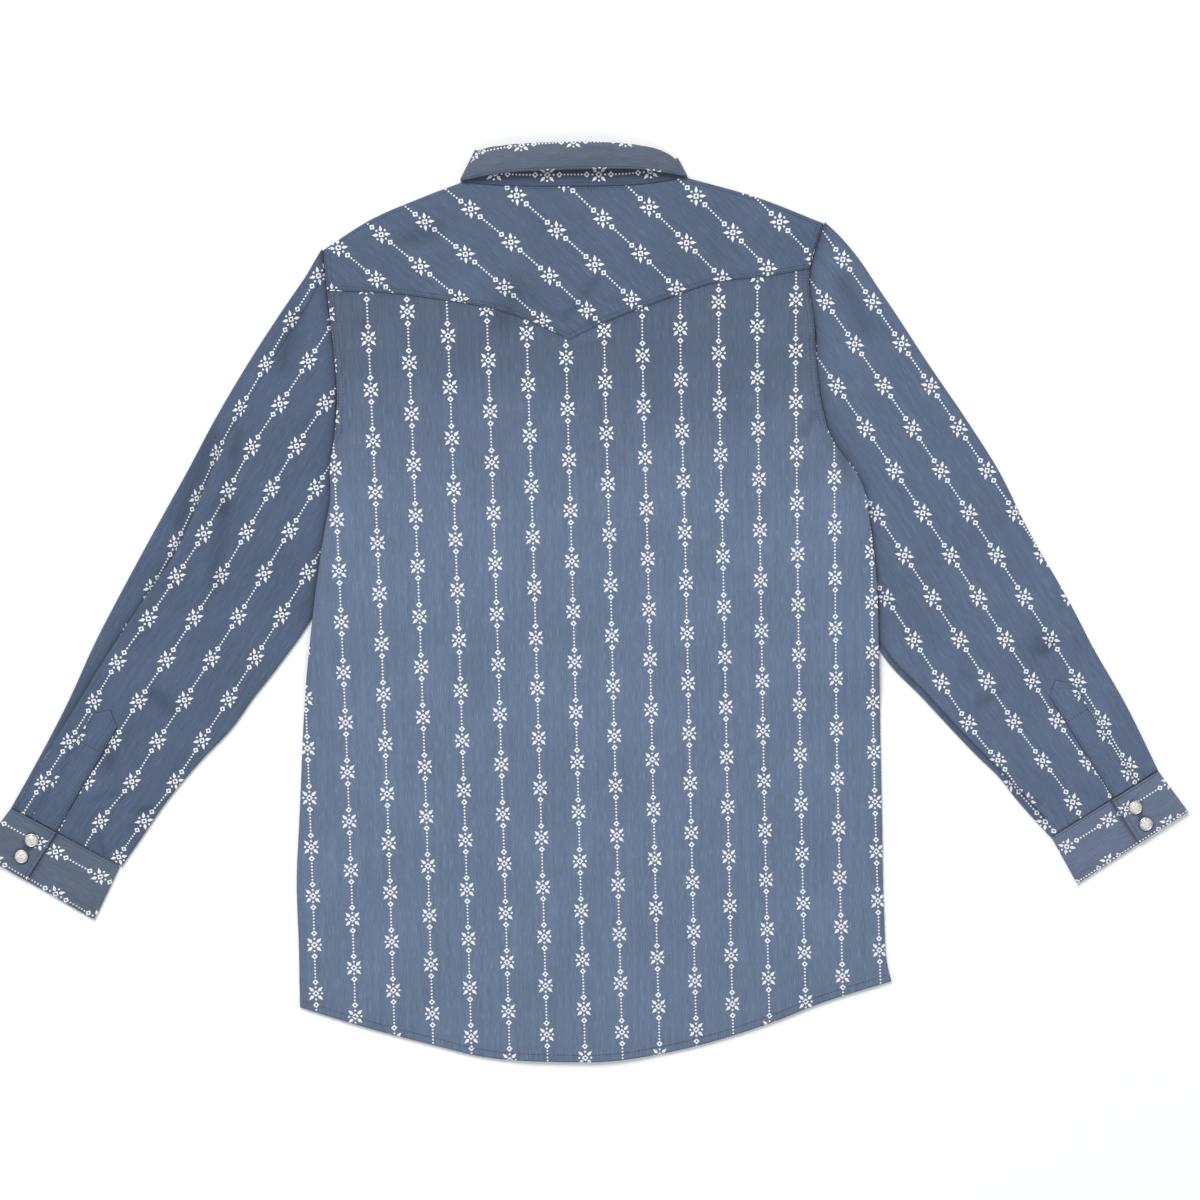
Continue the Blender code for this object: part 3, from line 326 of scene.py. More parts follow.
# Section of the fold's edge: rows (share of how far it goes under, share of its height, millimetres more)
FOLD_EDGE = ((0.95, 0.0, 0.2), (1.0, 0.1, 0.5), (0.95, 0.25, 0.5), (0.45, 0.42, 0.25), (0.05, 0.62, 0.0),
             (0.0, 0.82, 0.1), (0.0, 0.96, 0.55), (0.0, 1.0, 1.4))
FOLD_SINKS = (30.0, 1.4)    # distances from the fold's edge between which its top sinks back to the sleeve
FOLD_GAP = 0.3              # between the cloth that goes back under the fold and the fold's edge
FOLD_STRIP = 17             # columns from the sleeve's outer edge to the fold's
FOLD_FACE = 20              # first column of the fold's face, under which cloth is hidden
FOLD_END = 2.2              # millimetres from the fold's edge to the first plain column
SHARP_FOLD = 6.0            # the print breaks off at the fold where it is drawn in over less than this
INSEAM_COLUMNS = 53         # of the right sleeve's top, from its outer edge to that seam
INSEAM_INSET = 4.0          # of the right sleeve's seam from its inner edge, and how much more by the cuff
INSEAM_WIDENS, INSEAM_WIDENS_OVER = 2.6, (0.78, 0.88)
INSEAM_STEP = 0.7
INSEAM_RIDGE, INSEAM_RIDGE_FROM, INSEAM_RIDGE_TO = 0.35, (4.5, 1.0), 0.4
INSEAM_CLEAR = 1.2          # from the seam to the next plain column
INSEAM_FROM, INSEAM_TO = (0.30, 0.38), (0.98, 0.93)   # shares along the sleeve between which it shows
# The strip past that seam has no print up to a share of the sleeve, then a stripe at a distance from the
# sleeve's inner edge, with a flower at a distance along that edge
STRIP_PRINT = {"from": 0.775, "inset": 4.5, "flower": 385.0, "length": 446.2}

# ---------------------------------------------------------------- print
# Stripe and repeat (u, v) to place (x, y): two rows of factors for 1, u, v, u*u, u*v, v*v, u*v*v
PRINTS = {
    "body": ((-14.8, 35.77, 1.215, -0.0885, -0.197, 0.0, 0.0075), (223.3, 1.1, -47.0, 0.0, 0.0, 0.0765, 0.0)),
    "yoke": ((-103.1, 23.46, 37.72, 0.207, 0.276, -0.713, 0.0),
             (360.1, 26.68, -30.36, 0.092, -0.276, -0.23, 0.0)),
    "sleeve_left": ((-252.2, 28.7, -25.2, 0.0, 0.0, 0.083, 0.0), (220.5, -18.6, -39.7, 0.0, 0.0, 0.092, 0.0)),
    "sleeve_right": ((223.0, 29.6, 27.1, 0.0, 0.0, -0.147, 0.0), (275.0, 19.6, -38.8, 0.0, 0.0, 0.0, 0.0)),
    "placket_left": ((-464.7, 29.2, -24.85, 0.0, 0.0, 0.85, 0.0),
                     (-124.2, -19.8, -38.3, 0.0, 0.0, -0.5, 0.0)),
    "placket_right": ((457.4, -30.1, 22.3, 0.0, 0.0, 0.0, 0.0), (-84.0, -18.2, -36.9, 0.0, 0.0, 0.0, 0.0)),
    "front": ((-10.0, 35.5, 0.0, 0.0, 0.0, 0.0, 0.0), (220.0, 0.0, -47.3, 0.0, 0.0, 0.0, 0.0)),
}
# Where the cloth is pulled out of line. Rows: centre x, y, half width, half height, shift x, y
PRINT_DRIFT = {
    "body": ((-232, -104, 50, 220, 0.0, -3.4), (279, -387, 45, 220, 3.0, 0.0),
             (110, 220, 100, 130, -2.0, 0.0)),
    "yoke": ((-222, 335, 40, 40, 4.0, 0.0), (-10, 382, 70, 18, 0.0, 1.8)),
    "sleeve_left": ((-415, -215, 55, 45, -6.3, 2.0), (-430, -245, 30, 25, 0.0, 6.0),
                    (-429, -55, 30, 40, -4.4, -2.8), (-480, -205, 28, 30, -3.0, 1.0),
                    (-414, -168, 35, 25, 2.5, 0.0), (-362, -20, 100, 90, 2.2, -1.6),
                    (-349, 60, 45, 60, 2.6, -0.7), (-290, 148, 60, 35, -2.4, 0.0)),
    "sleeve_right": ((415, -185, 45, 45, 4.8, 4.6), (410, -145, 80, 60, 0.3, 3.0),
                     (379, -155, 22, 25, 1.8, 2.4), (436, -110, 30, 30, -2.5, 1.3),
                     (455, -195, 40, 35, 2.6, 2.4), (472, -172, 18, 28, 5.0, 0.5),
                     (496, -135, 22, 35, -2.6, 0.0)),
}
BAND_PRINT_SHIFT = (8, 11)  # of the placket band's print from the fronts'
STRIPE_PITCH = 35.2         # between stripes
REPEAT = 47.2               # along a stripe
RING, RING_EYE = 3.1, 1.2   # the diamond in a flower: half its diagonal, and its dark eye
PETAL_START, PETAL_END, PETAL_WIDTH = 2.8, 9.0, 1.4
PETAL_RISE, PETAL_FALL = 0.8, 0.42
DOT, DOT_ALONG, DOT_ACROSS = 0.98, 5.8, 5.6
SMALL_RING, SMALL_RING_EYE, SMALL_RING_AT = 2.9, 0.95, 11.1
CHAIN_DOT, CHAIN_PITCH, CHAIN_END = 0.84, 3.13, 9.2
PRINT_SOFTNESS = 0.2

# Print on the collar: where a repeat is at x, and how far a row is from the free edge or from the seam
FALL_PRINT = {"x": -8.4, "repeat": 47.6, "row": 25.8, "pitch": 29.1, "lean": 2.1}
STAND_PRINT = {"x": 14.5, "repeat": 46.8, "row": 10.5, "pitch": 35.0, "lean": 0.0}
LEAN_FROM, LEAN_TO = -10, -85     # x over which a row of the collar's print comes nearer the edge

# ---------------------------------------------------------------- painted shade in creases, and painted light on the back
# Painted shadow of the body's edge on a sleeve: its depth and reach
BODY_SHADE, BODY_SHADE_REACH = 0.8, 4.0
# Reach of the painted shadow below the yoke's edge
SEAM_SHADE_REACH = 0.7
# Painted shade round a cuff's snaps
SNAP_SHADE = 0.75
PLACKET_SHADE = (0.8, 0.7, 1.0), 0.8    # painted shade of columns along its two long edges, and of its head
FOLD_SHADE = 0.3            # painted shade in a fold's trough, for each millimetre of the fold's depth
# Painted shadow beside the long fold's edge: its depth and reach
LONG_FOLD_SHADE, LONG_FOLD_SHADE_REACH = 0.75, 5.0
LONG_FOLD_SHADE_RISE = (0.3, 1.8)       # heights of the fold between which its painted shadow deepens
FOLD_FACE_SHADE = 0.15      # share of that painted shadow on the fold's own face and top
# Painted shade at the right sleeve's inseam: the least of it on the strip past the seam, and its reach before
INSEAM_SHADE, INSEAM_SHADE_REACH = 0.3, 0.6
# Painted shade at a cuff's seam: its depth and reach
CUFF_SEAM_SHADE, CUFF_SEAM_SHADE_REACH = 0.35, 0.9
LAP_SHADE, LAP_SHADE_REACH = 1.5, 1.7   # painted shadow beside a cuff's lap; over 1 it stays full for a while
# Painted shadow of the fall on the stand: its depth and reach
STAND_SHADE, STAND_SHADE_REACH = 0.75, 4.5
# Painted shadow below the yoke's edge, on the back
YOKE_SHADE = 0.7
WIDEST_SHADED = 15.0        # half width of the widest fold that gets painted shade
STAND_MEETS_FALL = 398.0    # y at which the fall's free edge crosses the stand
PAINTED_LIGHT_OVER = 140.0         # millimetres down from the yoke over which the back is painted paler: painted light

# ---------------------------------------------------------------- camera and light
VIEW_CENTRE = (15.8, 0.9)
VIEW_WIDTH = 1104.0
LENS, SENSOR = 100.0, 36.0
FLOOR_HALF, FLOOR_Z = 4000.0, -0.4
SKY, SKY_STRENGTH = (0.96, 0.98, 1.0, 1.0), 0.52
# Rows: name, place, size, power in watts
LIGHTS = (("key", (-1500, 3100, 3900), 2200, 200), ("fill", (1500, -2900, 4000), 2600, 45))


def tint(name, description, default):
    """A colour of the shirt that its panel shows."""
    return FloatVectorProperty(name=name, description=description, subtype="COLOR", size=3, min=0, max=1,
                               default=default)


class ShirtCloth(bpy.types.PropertyGroup):
    """Colours and finish of the cloth."""

    # All one chambray: these colours differ only as painted light and shade, each piece as lit as it lay, the
    # left sleeve, the yoke and the stand darker, the right cuff lighter
    body: tint("Body", "Chambray of the back and the fronts", (0.1015, 0.137, 0.209))
    yoke: tint("Yoke", "The same cloth on the bias", (0.081, 0.114, 0.177))
    sleeve_left: tint("Left sleeve", "Chambray of the left sleeve", (0.075, 0.106, 0.170))
    sleeve_right: tint("Right sleeve", "Chambray of the right sleeve", (0.095, 0.132, 0.207))
    cuff_left: tint("Left cuff", "Chambray of the left cuff", (0.096, 0.125, 0.177))
    cuff_right: tint("Right cuff", "Chambray of the right cuff", (0.124, 0.156, 0.235))
    collar: tint("Collar", "Chambray of the collar's fall", (0.102, 0.123, 0.168))
    stand: tint("Stand", "Chambray of the collar's stand", (0.066, 0.094, 0.154))
    ink: tint("Print", "White of the print", (0.84, 0.86, 0.87))
    wall: FloatProperty(name="Cloth", description="Thickness of one layer of cloth, in millimetres", min=0.3,
                        max=1.0, default=0.75)
    slub: FloatProperty(name="Slub", description="How strong the light and dark yarns are", min=0, max=1,
                        subtype="FACTOR", default=0.5)
    # Painted light: how much paler the back is made towards the hem
    painted_light_below: FloatProperty(name="Painted light below", description="How much paler the back is below than at the yoke",
                          min=0, max=1, subtype="FACTOR", default=0.36)


class ShirtSewing(bpy.types.PropertyGroup):
    """Thread and stitches, and the snaps."""

    thread: tint("Thread", "Colour of the sewing thread", (0.022, 0.032, 0.064))
    stitch: FloatProperty(name="Stitch", description="Length of one stitch, in millimetres", min=1, max=6,
                          default=2.3)
    pitch: FloatProperty(name="Stitch pitch", description="From stitch to stitch, in millimetres", min=1,
                         max=8, default=3.0)
    radius: FloatProperty(name="Thread radius", description="In millimetres", min=0.1, max=0.6, default=0.22)
    pearl: tint("Pearl", "Colour of the snaps' caps", (0.64, 0.635, 0.61))
    metal: tint("Rim", "Colour of the snaps' metal", (0.66, 0.65, 0.63))


# ---------------------------------------------------------------- curves and grids

def dense_curve(points, per_span=16):
    """A smooth curve through the points: a cubic on each span, whose direction at a point is the mean of
    the directions of its two spans, the shorter one weighing more."""
    p = np.asarray(points, float)
    length = np.linalg.norm(np.diff(p, axis=0), axis=1)[:, None]
    slope = np.diff(p, axis=0) / length
    middle = (slope[:-1] * length[1:] + slope[1:] * length[:-1]) / (length[1:] + length[:-1])
    way = np.vstack([slope[:1], middle, slope[-1:]])
    t = (np.arange(per_span) / per_span)[:, None]
    spans = [(2 * t**3 - 3 * t**2 + 1) * p[k] + (3 * t**2 - 2 * t**3) * p[k + 1]
             + ((t**3 - 2 * t**2 + t) * way[k] + (t**3 - t**2) * way[k + 1]) * length[k]
             for k in range(len(p) - 1)]
    return np.vstack([*spans, p[-1:]])


def run_of(line):
    """Distance along a line at each of its points."""
    return np.concatenate([[0.0], np.cumsum(np.linalg.norm(np.diff(line, axis=0), axis=1))])


def on_line(line, distances):
    """Points of a line at distances along it."""
    run = run_of(line)
    return np.stack([np.interp(distances, run, line[:, k]) for k in range(line.shape[1])], 1)


def along(points, shares):
    """Points at the given shares of the length of the curve through the points."""
    curve = dense_curve(points)
    return on_line(curve, np.asarray(shares) * run_of(curve)[-1])


def even(count):
    """count + 1 even shares from 0 to 1."""
    return np.arange(count + 1) / count


def fine_ends(count, crowding=0.6):
    """count + 1 shares from 0 to 1, closer together at both ends: even shares less a sine of them."""
    t = even(count)
    return t - crowding * np.sin(2 * np.pi * t) / (2 * np.pi)


def joined(*stretches):
    """One line from stretches that share their end points."""
    return np.vstack([stretches[0], *(s[1:] for s in stretches[1:])])


def patch(top, bottom, left, right, across, down):
    """A Coons patch: straight rows between left and right, bent to follow top and bottom."""
    u = np.asarray(across)[None, :, None]
    v = np.asarray(down)[:, None, None]
    top_bow = top - (top[0] + (top[-1] - top[0]) * np.asarray(across)[:, None])
    bottom_bow = bottom - (bottom[0] + (bottom[-1] - bottom[0]) * np.asarray(across)[:, None])
    straight = left[:, None, :] * (1 - u) + right[:, None, :] * u
    return straight + (1 - v) * top_bow[None] + v * bottom_bow[None]


def shares_of(line):
    """Share of the length of a line at each of its points."""
    run = run_of(line)
    return run / run[-1]


def ramp(value, span):
    """0 at the span's first end, 1 at its second, with a smooth rise between; the first may be the larger."""
    t = np.clip((value - span[0]) / (span[1] - span[0]), 0.0, 1.0)
    return t * t * (3 - 2 * t)


def relief(x, y, folds):
    """Sum of soft folds: each a bell across its line that fades out past the line's ends."""
    height = np.zeros_like(x)
    for x0, y0, x1, y1, half_width, rise in folds:
        length = math.hypot(x1 - x0, y1 - y0)
        ax, ay = (x1 - x0) / length, (y1 - y0) / length
        run = (x - x0) * ax + (y - y0) * ay
        off = (x - x0) * ay - (y - y0) * ax
        past = np.maximum(np.abs(run - length / 2) - length / 2, 0.0)
        height += FOLD_STRENGTH * rise * np.exp(-(off / half_width) ** 2 - (past / half_width) ** 2)
    return height


def painted_fold_shade(x, y, folds):
    """Painted shade in the troughs among the narrower soft folds."""
    narrow = [fold for fold in folds if fold[4] <= WIDEST_SHADED]
    return np.clip(-FOLD_SHADE * relief(x, y, narrow), 0.0, 0.6)


def waves(x, y):
    """Slow unevenness of cloth that has been worn and smoothed: a sum of sines in several directions."""
    return sum(height * np.sin((x * math.cos(math.radians(turn)) + y * math.sin(math.radians(turn)))
                               * 2 * np.pi / length + phase) for length, turn, phase, height in WAVES)


def pucker(run, distance, height=0.16, reach=7.0):
    """Gathers along a seam: uneven waves along it that die away with the distance from it."""
    swing = np.sin(run * 2 * np.pi / 11.7) + 0.7 * np.sin(run * 2 * np.pi / 8.3 + 1.3)
    return height * swing * np.exp(-np.abs(distance) / reach)


def with_height(plan, height):
    """Points from a plan and a height."""
    return np.concatenate([plan, height[..., None]], -1)


def on_grid(grid, rows, columns):
    """Points of a grid at fractional rows and columns, each a weighted mean of its four neighbours."""
    r = np.clip(rows, 0, grid.shape[0] - 1.001)
    c = np.clip(columns, 0, grid.shape[1] - 1.001)
    r0, c0 = r.astype(int), c.astype(int)
    fr, fc = (r - r0)[..., None], (c - c0)[..., None]
    return ((grid[r0, c0] * (1 - fc) + grid[r0, c0 + 1] * fc) * (1 - fr)
            + (grid[r0 + 1, c0] * (1 - fc) + grid[r0 + 1, c0 + 1] * fc) * fr)


# ---------------------------------------------------------------- print

def print_terms(u, v):
    """The terms that PRINTS has factors for."""
    return np.stack([np.ones_like(u), u, v, u * u, u * v, v * v, u * v * v])


def print_at(name, plan):
    """Stripe and repeat (u, v) at places (x, y): Newton's method on the two rows of PRINTS, after bells of
    PRINT_DRIFT are taken off."""
    factors = np.array(PRINTS[name])
    drift = 0.0
    for x0, y0, half_width, half_height, *shift in PRINT_DRIFT.get(name, ()):
        bell = np.exp(-((plan[..., 0] - x0) / half_width) ** 2 - ((plan[..., 1] - y0) / half_height) ** 2)
        drift = drift + bell[..., None] * np.array(shift)
    plan = plan - drift
    u, v = np.zeros(plan.shape[:-1]), np.zeros(plan.shape[:-1])
    for _ in range(7):
        x, y = np.tensordot(factors, print_terms(u, v), 1)
        zero, one = np.zeros_like(u), np.ones_like(u)
        along_u = np.tensordot(factors, np.stack([zero, one, zero, 2 * u, v, zero, v * v]), 1)
        along_v = np.tensordot(factors, np.stack([zero, zero, one, zero, u, 2 * v, 2 * u * v]), 1)
        off_x, off_y = plan[..., 0] - x, plan[..., 1] - y
        spread = along_u[0] * along_v[1] - along_u[1] * along_v[0]
        u = u + (off_x * along_v[1] - off_y * along_v[0]) / spread
        v = v + (off_y * along_u[0] - off_x * along_u[1]) / spread
    return np.stack([u, v], -1)


# ---------------------------------------------------------------- layers of the body

LEFT_EDGE = joined(*(dense_curve(part) for part in (ARMHOLE_LEFT_YOKE, ARMHOLE_LEFT_BACK, SIDE_LEFT)))
RIGHT_EDGE = joined(*(dense_curve(part) for part in (ARMHOLE_RIGHT_YOKE, ARMHOLE_RIGHT_BACK, SIDE_RIGHT)))
HEM_LINE = dense_curve(HEM)
SEAM_LINE = joined(dense_curve(YOKE_SEAM_LEFT), dense_curve(YOKE_SEAM_RIGHT))
ARMHOLE_FOOT_LEFT, ARMHOLE_FOOT_RIGHT = 150, 160      # y at which the armholes end


def side_lift(x, y):
    """How far the body's sides are raised by the sleeves under them."""
    beside = 0.0
    for side, inwards, rise in ((SIDE_LEFT, 1, ON_SLEEVE_LEFT), (SIDE_RIGHT, -1, ON_SLEEVE_RIGHT)):
        edge = np.interp(y, [p[1] for p in side[::-1]], [p[0] for p in side[::-1]])
        beside = beside + ramp((x - edge) * inwards, rise)
    return (SLEEVE_HEIGHT + 2 * SEAM_GAP) * beside * ramp(y, SLEEVE_RISE_TOP) * ramp(y, SLEEVE_RISE_FOOT)


def neck_lift(x, y):
    """How far the collar's leaves raise the fronts round the neck."""
    return LAID_ON * ramp(x, NECK_RISE_LEFT) * ramp(x, NECK_RISE_RIGHT) * ramp(y, NECK_RISE_Y)


def lap_lift(x):
    """How far the placket band raises the right front."""
    return 1.4 * ramp(x, BAND_RISE_FRONT)


def side_distance(x, y):
    """Distance in from the nearer side of the body, and 1 beside the sleeves' seams or 0 below them."""
    left = x - np.interp(y, LEFT_EDGE[::-1, 1], LEFT_EDGE[::-1, 0])
    right = np.interp(y, RIGHT_EDGE[::-1, 1], RIGHT_EDGE[::-1, 0]) - x
    at_armhole = np.where(left < right, ramp(y, (ARMHOLE_FOOT_LEFT - 8, ARMHOLE_FOOT_LEFT + 8)),
                          ramp(y, (ARMHOLE_FOOT_RIGHT - 8, ARMHOLE_FOOT_RIGHT + 8)))
    return np.minimum(left, right), at_armhole


def hem_distance(x, y):
    """Distance up from the hem."""
    slope = np.interp(x, HEM_LINE[:, 0], np.gradient(HEM_LINE[:, 1], HEM_LINE[:, 0]))
    return (y - np.interp(x, HEM_LINE[:, 0], HEM_LINE[:, 1])) / np.sqrt(1 + slope**2)


def yoke_distance(x, y):
    """Distance up from the yoke's seam."""
    slope = np.interp(x, SEAM_LINE[:, 0], np.gradient(SEAM_LINE[:, 1], SEAM_LINE[:, 0]))
    return (y - np.interp(x, SEAM_LINE[:, 0], SEAM_LINE[:, 1])) / np.sqrt(1 + slope**2)


def band_step(distance, width, rise, soft=0.9):
    """A turned edge or a felled seam: raised by rise as far in as width, and rounded off at the edge."""
    return rise * ramp(distance, (width + soft, width)) - EDGE_ROLL * ramp(distance, EDGE_ROLL_OVER)


def groove(distance, row, depth):
    """How far a row of stitches draws the cloth in, at distances from the edge beside it."""
    return depth * np.exp(-((distance - row) / GROOVE_WIDTH) ** 2)


def back_top(x, y):
    """Height of the back's outer face: over the fronts and what is under them, with folds, waves, seams
    drawn in to the fronts, felled armholes and a turned hem."""
    lap = LAID_ON * ramp(x, BAND_RISE_BACK_LEFT) * ramp(x, BAND_RISE_BACK_RIGHT)
    base = side_lift(x, y) + neck_lift(x, y) + lap + 2 * CAD_WALL + LAYER_GAP
    inside = ramp(x, BILLOW_LEFT) * ramp(x, BILLOW_RIGHT) * ramp(y, BILLOW_TOP) * ramp(y, BILLOW_FOOT)
    folds = relief(x, y, BODY_FOLDS) * ramp(y, FOLDS_END_Y) * ramp(np.abs(x), FOLDS_END_X)
    distance, at_armhole = side_distance(x, y)
    hem = hem_distance(x, y)
    free = ramp(distance, WAVES_FROM_SIDE) * ramp(hem, WAVES_FROM_HEM) * ramp(y, FOLDS_END_Y)
    height = base + BODY_BILLOW * inside + folds + waves(x, y) * free
    felled = band_step(distance, FELL_WIDTH, FELL_PROUD) + pucker(y, distance, GATHER_HEIGHT["armhole"])
    rolled = pucker(y, distance, GATHER_HEIGHT["side"]) - SIDE_ROLL * ramp(distance, SIDE_ROLL_OVER)
    height += at_armhole * felled + (1 - at_armhole) * rolled
    height += band_step(hem, HEM_DEPTH, HEM_PROUD) + pucker(x, hem - HEM_DEPTH, GATHER_HEIGHT["hem"])
    above = yoke_distance(x, y)
    return height + pucker(x * 0.97, above, GATHER_HEIGHT["yoke"]) * ramp(np.abs(above), YOKE_GATHERS_OVER)


def back_face(x, y):
    """Height of the back's outer face below the yoke."""
    return back_top(x, y) - 0.1


def yoke_top(x, y):
    """Height of the yoke's outer face: the back's, raised towards its lower edge, which is rolled under."""
    above = yoke_distance(x, y)
    raised = YOKE_PROUD * ramp(above, PROUD_OVER) - YOKE_EDGE_ROLL * ramp(above, PRESSED_OVER)
    return back_top(x, y) + raised


# ---------------------------------------------------------------- sleeves

def unit(vector):
    """The vectors at length 1."""
    return vector / np.linalg.norm(vector, axis=-1, keepdims=True)


def outward_of(edge, other):
    """Unit directions square to an edge in plan, pointing away from the other edge."""
    tangent = np.gradient(edge, axis=0)
    normal = np.stack([tangent[:, 1], -tangent[:, 0]], 1)
    return unit(normal * np.sign(np.sum(normal * (edge - other), axis=1))[:, None])


def sleeve_edges(side, share):
    """Outer and inner edge of a sleeve's flat top at shares along it, their outward directions, and how
    far the armhole's curve is off the straight first row, at BOW_PLACES."""
    facts = SLEEVES[side]
    fine = even(160)
    lines = along(facts["outer"], fine), along(facts["inner"], fine**UNDERARM_PACE)
    away = [outward_of(lines[k], lines[1 - k]) for k in (0, 1)]
    armhole = joined(*(dense_curve(part) for part in facts["armhole"]))
    armhole = armhole + np.array((facts["outward"] * SLOPED_GAP, 0.0))
    inset = (EDGE_RADIUS * ramp(fine, (0.0, 0.06)))[:, None]
    edges = [lines[k] - away[k] * inset for k in (0, 1)]
    start_off, end_off = armhole[0] - edges[0][0], armhole[-1] - edges[1][0]
    fade = np.clip(1 - fine / 0.05, 0, 1)[:, None]
    edges = [edges[0] + start_off * fade, edges[1] + end_off * fade]
    bow = on_line(armhole, BOW_PLACES * run_of(armhole)[-1])
    bow = bow - (armhole[0] * (1 - BOW_PLACES[:, None]) + armhole[-1] * BOW_PLACES[:, None])
    at = [np.stack([np.interp(share, fine, e[:, k]) for k in (0, 1)], -1) for e in (*edges, *away)]
    return at[0], at[1], unit(at[2]), unit(at[3]), bow


def sleeve_plan(side, share, across):
    """Places on a sleeve's flat top, at shares along it and across it (arrays of one shape)."""
    start, end, _, _, bow = sleeve_edges(side, share)
    plan = start * (1 - across[..., None]) + end * across[..., None]
    at_armhole = np.clip(1 - share / 0.05, 0, 1)[..., None]
    return plan + at_armhole * np.stack([np.interp(across, BOW_PLACES, bow[:, k]) for k in (0, 1)], -1)


def sleeve_top(share, across, plan):
    """Height of a sleeve's top: full in the middle, with folds and waves, low at the armhole's groove."""
    full = ramp(share, SLEEVE_BILLOW_START) * ramp(share, SLEEVE_BILLOW_END)
    x, y = plan[..., 0], plan[..., 1]
    height = SLEEVE_HEIGHT + SLEEVE_BILLOW * np.sin(np.pi * across) ** 2 * full
    height += relief(x, y, SLEEVE_FOLDS) * ramp(share, FOLDS_END_CUFF) * ramp(share, (0.0, 0.05))
    inside = ramp(across, (0.0, 0.12)) * ramp(across, (1.0, 0.88))
    height += waves(x + 400, y) * inside * ramp(share, (0.0, 0.08)) * ramp(share, FOLDS_END_CUFF)
    down = share * SLEEVE_LENGTH
    up = SLEEVE_LENGTH - down
    height += pucker(across * SLEEVE_AT_ARMHOLE, down, GATHER_HEIGHT["sleeve"])
    height -= ARMHOLE_SINK * ramp(down, ARMHOLE_SINK_OVER) + ARMHOLE_GROOVE * ramp(down, ARMHOLE_GROOVE_OVER)
    height += pucker(across * SLEEVE_AT_CUFF, up, GATHER_HEIGHT["cuff"], 10.0)
    return height - CUFF_SINK * ramp(up, CUFF_SINK_OVER)


def fold_facts(share):
    """The rows of LONG_FOLD at shares along the sleeve."""
    table = np.array(LONG_FOLD)
    return [np.interp(share, table[:, 0], table[:, k]) for k in range(1, 6)]


def long_fold_rise(share, inwards):
    """Height of the long fold's top at distances inwards from its edge."""
    return fold_facts(share)[1] * ramp(inwards, FOLD_SINKS) * (inwards >= 0)


def sleeve_place(side, plan):
    """Shares along and across a sleeve of places (x, y) on it, by a few steps towards them."""
    share = np.full(plan.shape[:-1], 0.8)
    for _ in range(24):
        start, end, _, _, _ = sleeve_edges(side, share)
        width = end - start
        across = np.sum((plan - start) * width, -1) / np.sum(width**2, -1)
        after = sleeve_edges(side, np.clip(share + 0.01, 0, 1))
        before = sleeve_edges(side, np.clip(share - 0.01, 0, 1))
        step = (after[0] - before[0]) * (1 - across[..., None]) + (after[1] - before[1]) * across[..., None]
        off = plan - (start * (1 - across[..., None]) + end * across[..., None])
        share = np.clip(share + 0.02 * np.sum(off * step, -1) / np.sum(step**2, -1), 0.0, 1.0)
    return share, across


def on_sleeve(side, plan, over=0.0):
    """Points on a sleeve's top at places (x, y), raised by over."""
    share, across = sleeve_place(side, plan)
    height = sleeve_top(share, across, plan) + over
    if side == "left":
        start, end, _, _, _ = sleeve_edges(side, share)
        width = np.linalg.norm(end - start, axis=-1)
        height += long_fold_rise(share, (across - fold_facts(share)[0]) * width)
    return with_height(plan, height)


def left_top(share, width):
    """The columns of the left sleeve's top: how far they lie in from its outer edge, how far the long fold
    raises them, how much cloth is drawn in between them and the inner edge, and how much painted shadow of
    the fold's edge they get."""
    edge, rise, under, hidden, soft = fold_facts(share)
    edge = edge * width
    section = np.array(FOLD_EDGE)
    strip = fine_ends(FOLD_STRIP - 1, 0.3) * (edge + under * section[0, 0] - FOLD_GAP)
    turn = edge + under * section[:, 0] + section[:, 2]
    inner = edge + FOLD_END + (width - edge - FOLD_END) * fine_ends(46, 0.4)[1:]
    inwards = np.concatenate([strip, turn, inner], 1)
    plain = FOLD_STRIP + len(FOLD_EDGE)
    raised = np.zeros_like(inwards)
    raised[:, FOLD_STRIP:plain] = rise * section[:, 1]
    raised[:, plain:] = rise * ramp(inwards[:, plain:] - edge, FOLD_SINKS)
    drawn = hidden * ramp(inwards - edge, (soft, -0.25 * soft))
    drawn[:, :FOLD_STRIP] = hidden
    sharp = soft[:, 0] < SHARP_FOLD
    drawn[sharp, FOLD_STRIP:FOLD_FACE] = hidden[sharp]
    drawn[sharp, FOLD_FACE:] = 0.0
    # Painted shadow beside the long fold's edge, deeper where the fold stands higher
    dark = LONG_FOLD_SHADE * ramp(rise, LONG_FOLD_SHADE_RISE)
    dark = dark * np.exp(-np.abs(edge - inwards) / LONG_FOLD_SHADE_REACH)
    dark[:, FOLD_FACE + 1:] *= FOLD_FACE_SHADE
    return inwards, raised, drawn, dark


def right_top(share, width):
    """The same for the right sleeve, where the cloth steps down past the seam along its inner edge and gets
    painted shade at that step.
    """
    seam = width - INSEAM_INSET - INSEAM_WIDENS * ramp(share, INSEAM_WIDENS_OVER)
    main = fine_ends(INSEAM_COLUMNS - 1, 0.4) * (seam - 0.2)
    step = seam + np.array((0.15, 0.5))
    last = seam + INSEAM_CLEAR + (width - seam - INSEAM_CLEAR) * even(5)
    inwards = np.concatenate([main, step, last], 1)
    shows = ramp(share, INSEAM_FROM) * ramp(share, INSEAM_TO)
    past = inwards - seam
    raised = -INSEAM_STEP * ramp(past, (-0.1, 0.5))
    raised += INSEAM_RIDGE * ramp(-past, INSEAM_RIDGE_FROM) * ramp(past, (INSEAM_RIDGE_TO, 0.0))
    # Painted shade at the seam's step and on the lower strip past it
    dark = np.where(past > 0, INSEAM_SHADE + (1 - INSEAM_SHADE) * np.exp(-past),
                    np.exp(past / INSEAM_SHADE_REACH))
    return inwards, shows * raised, np.zeros_like(inwards), shows * dark


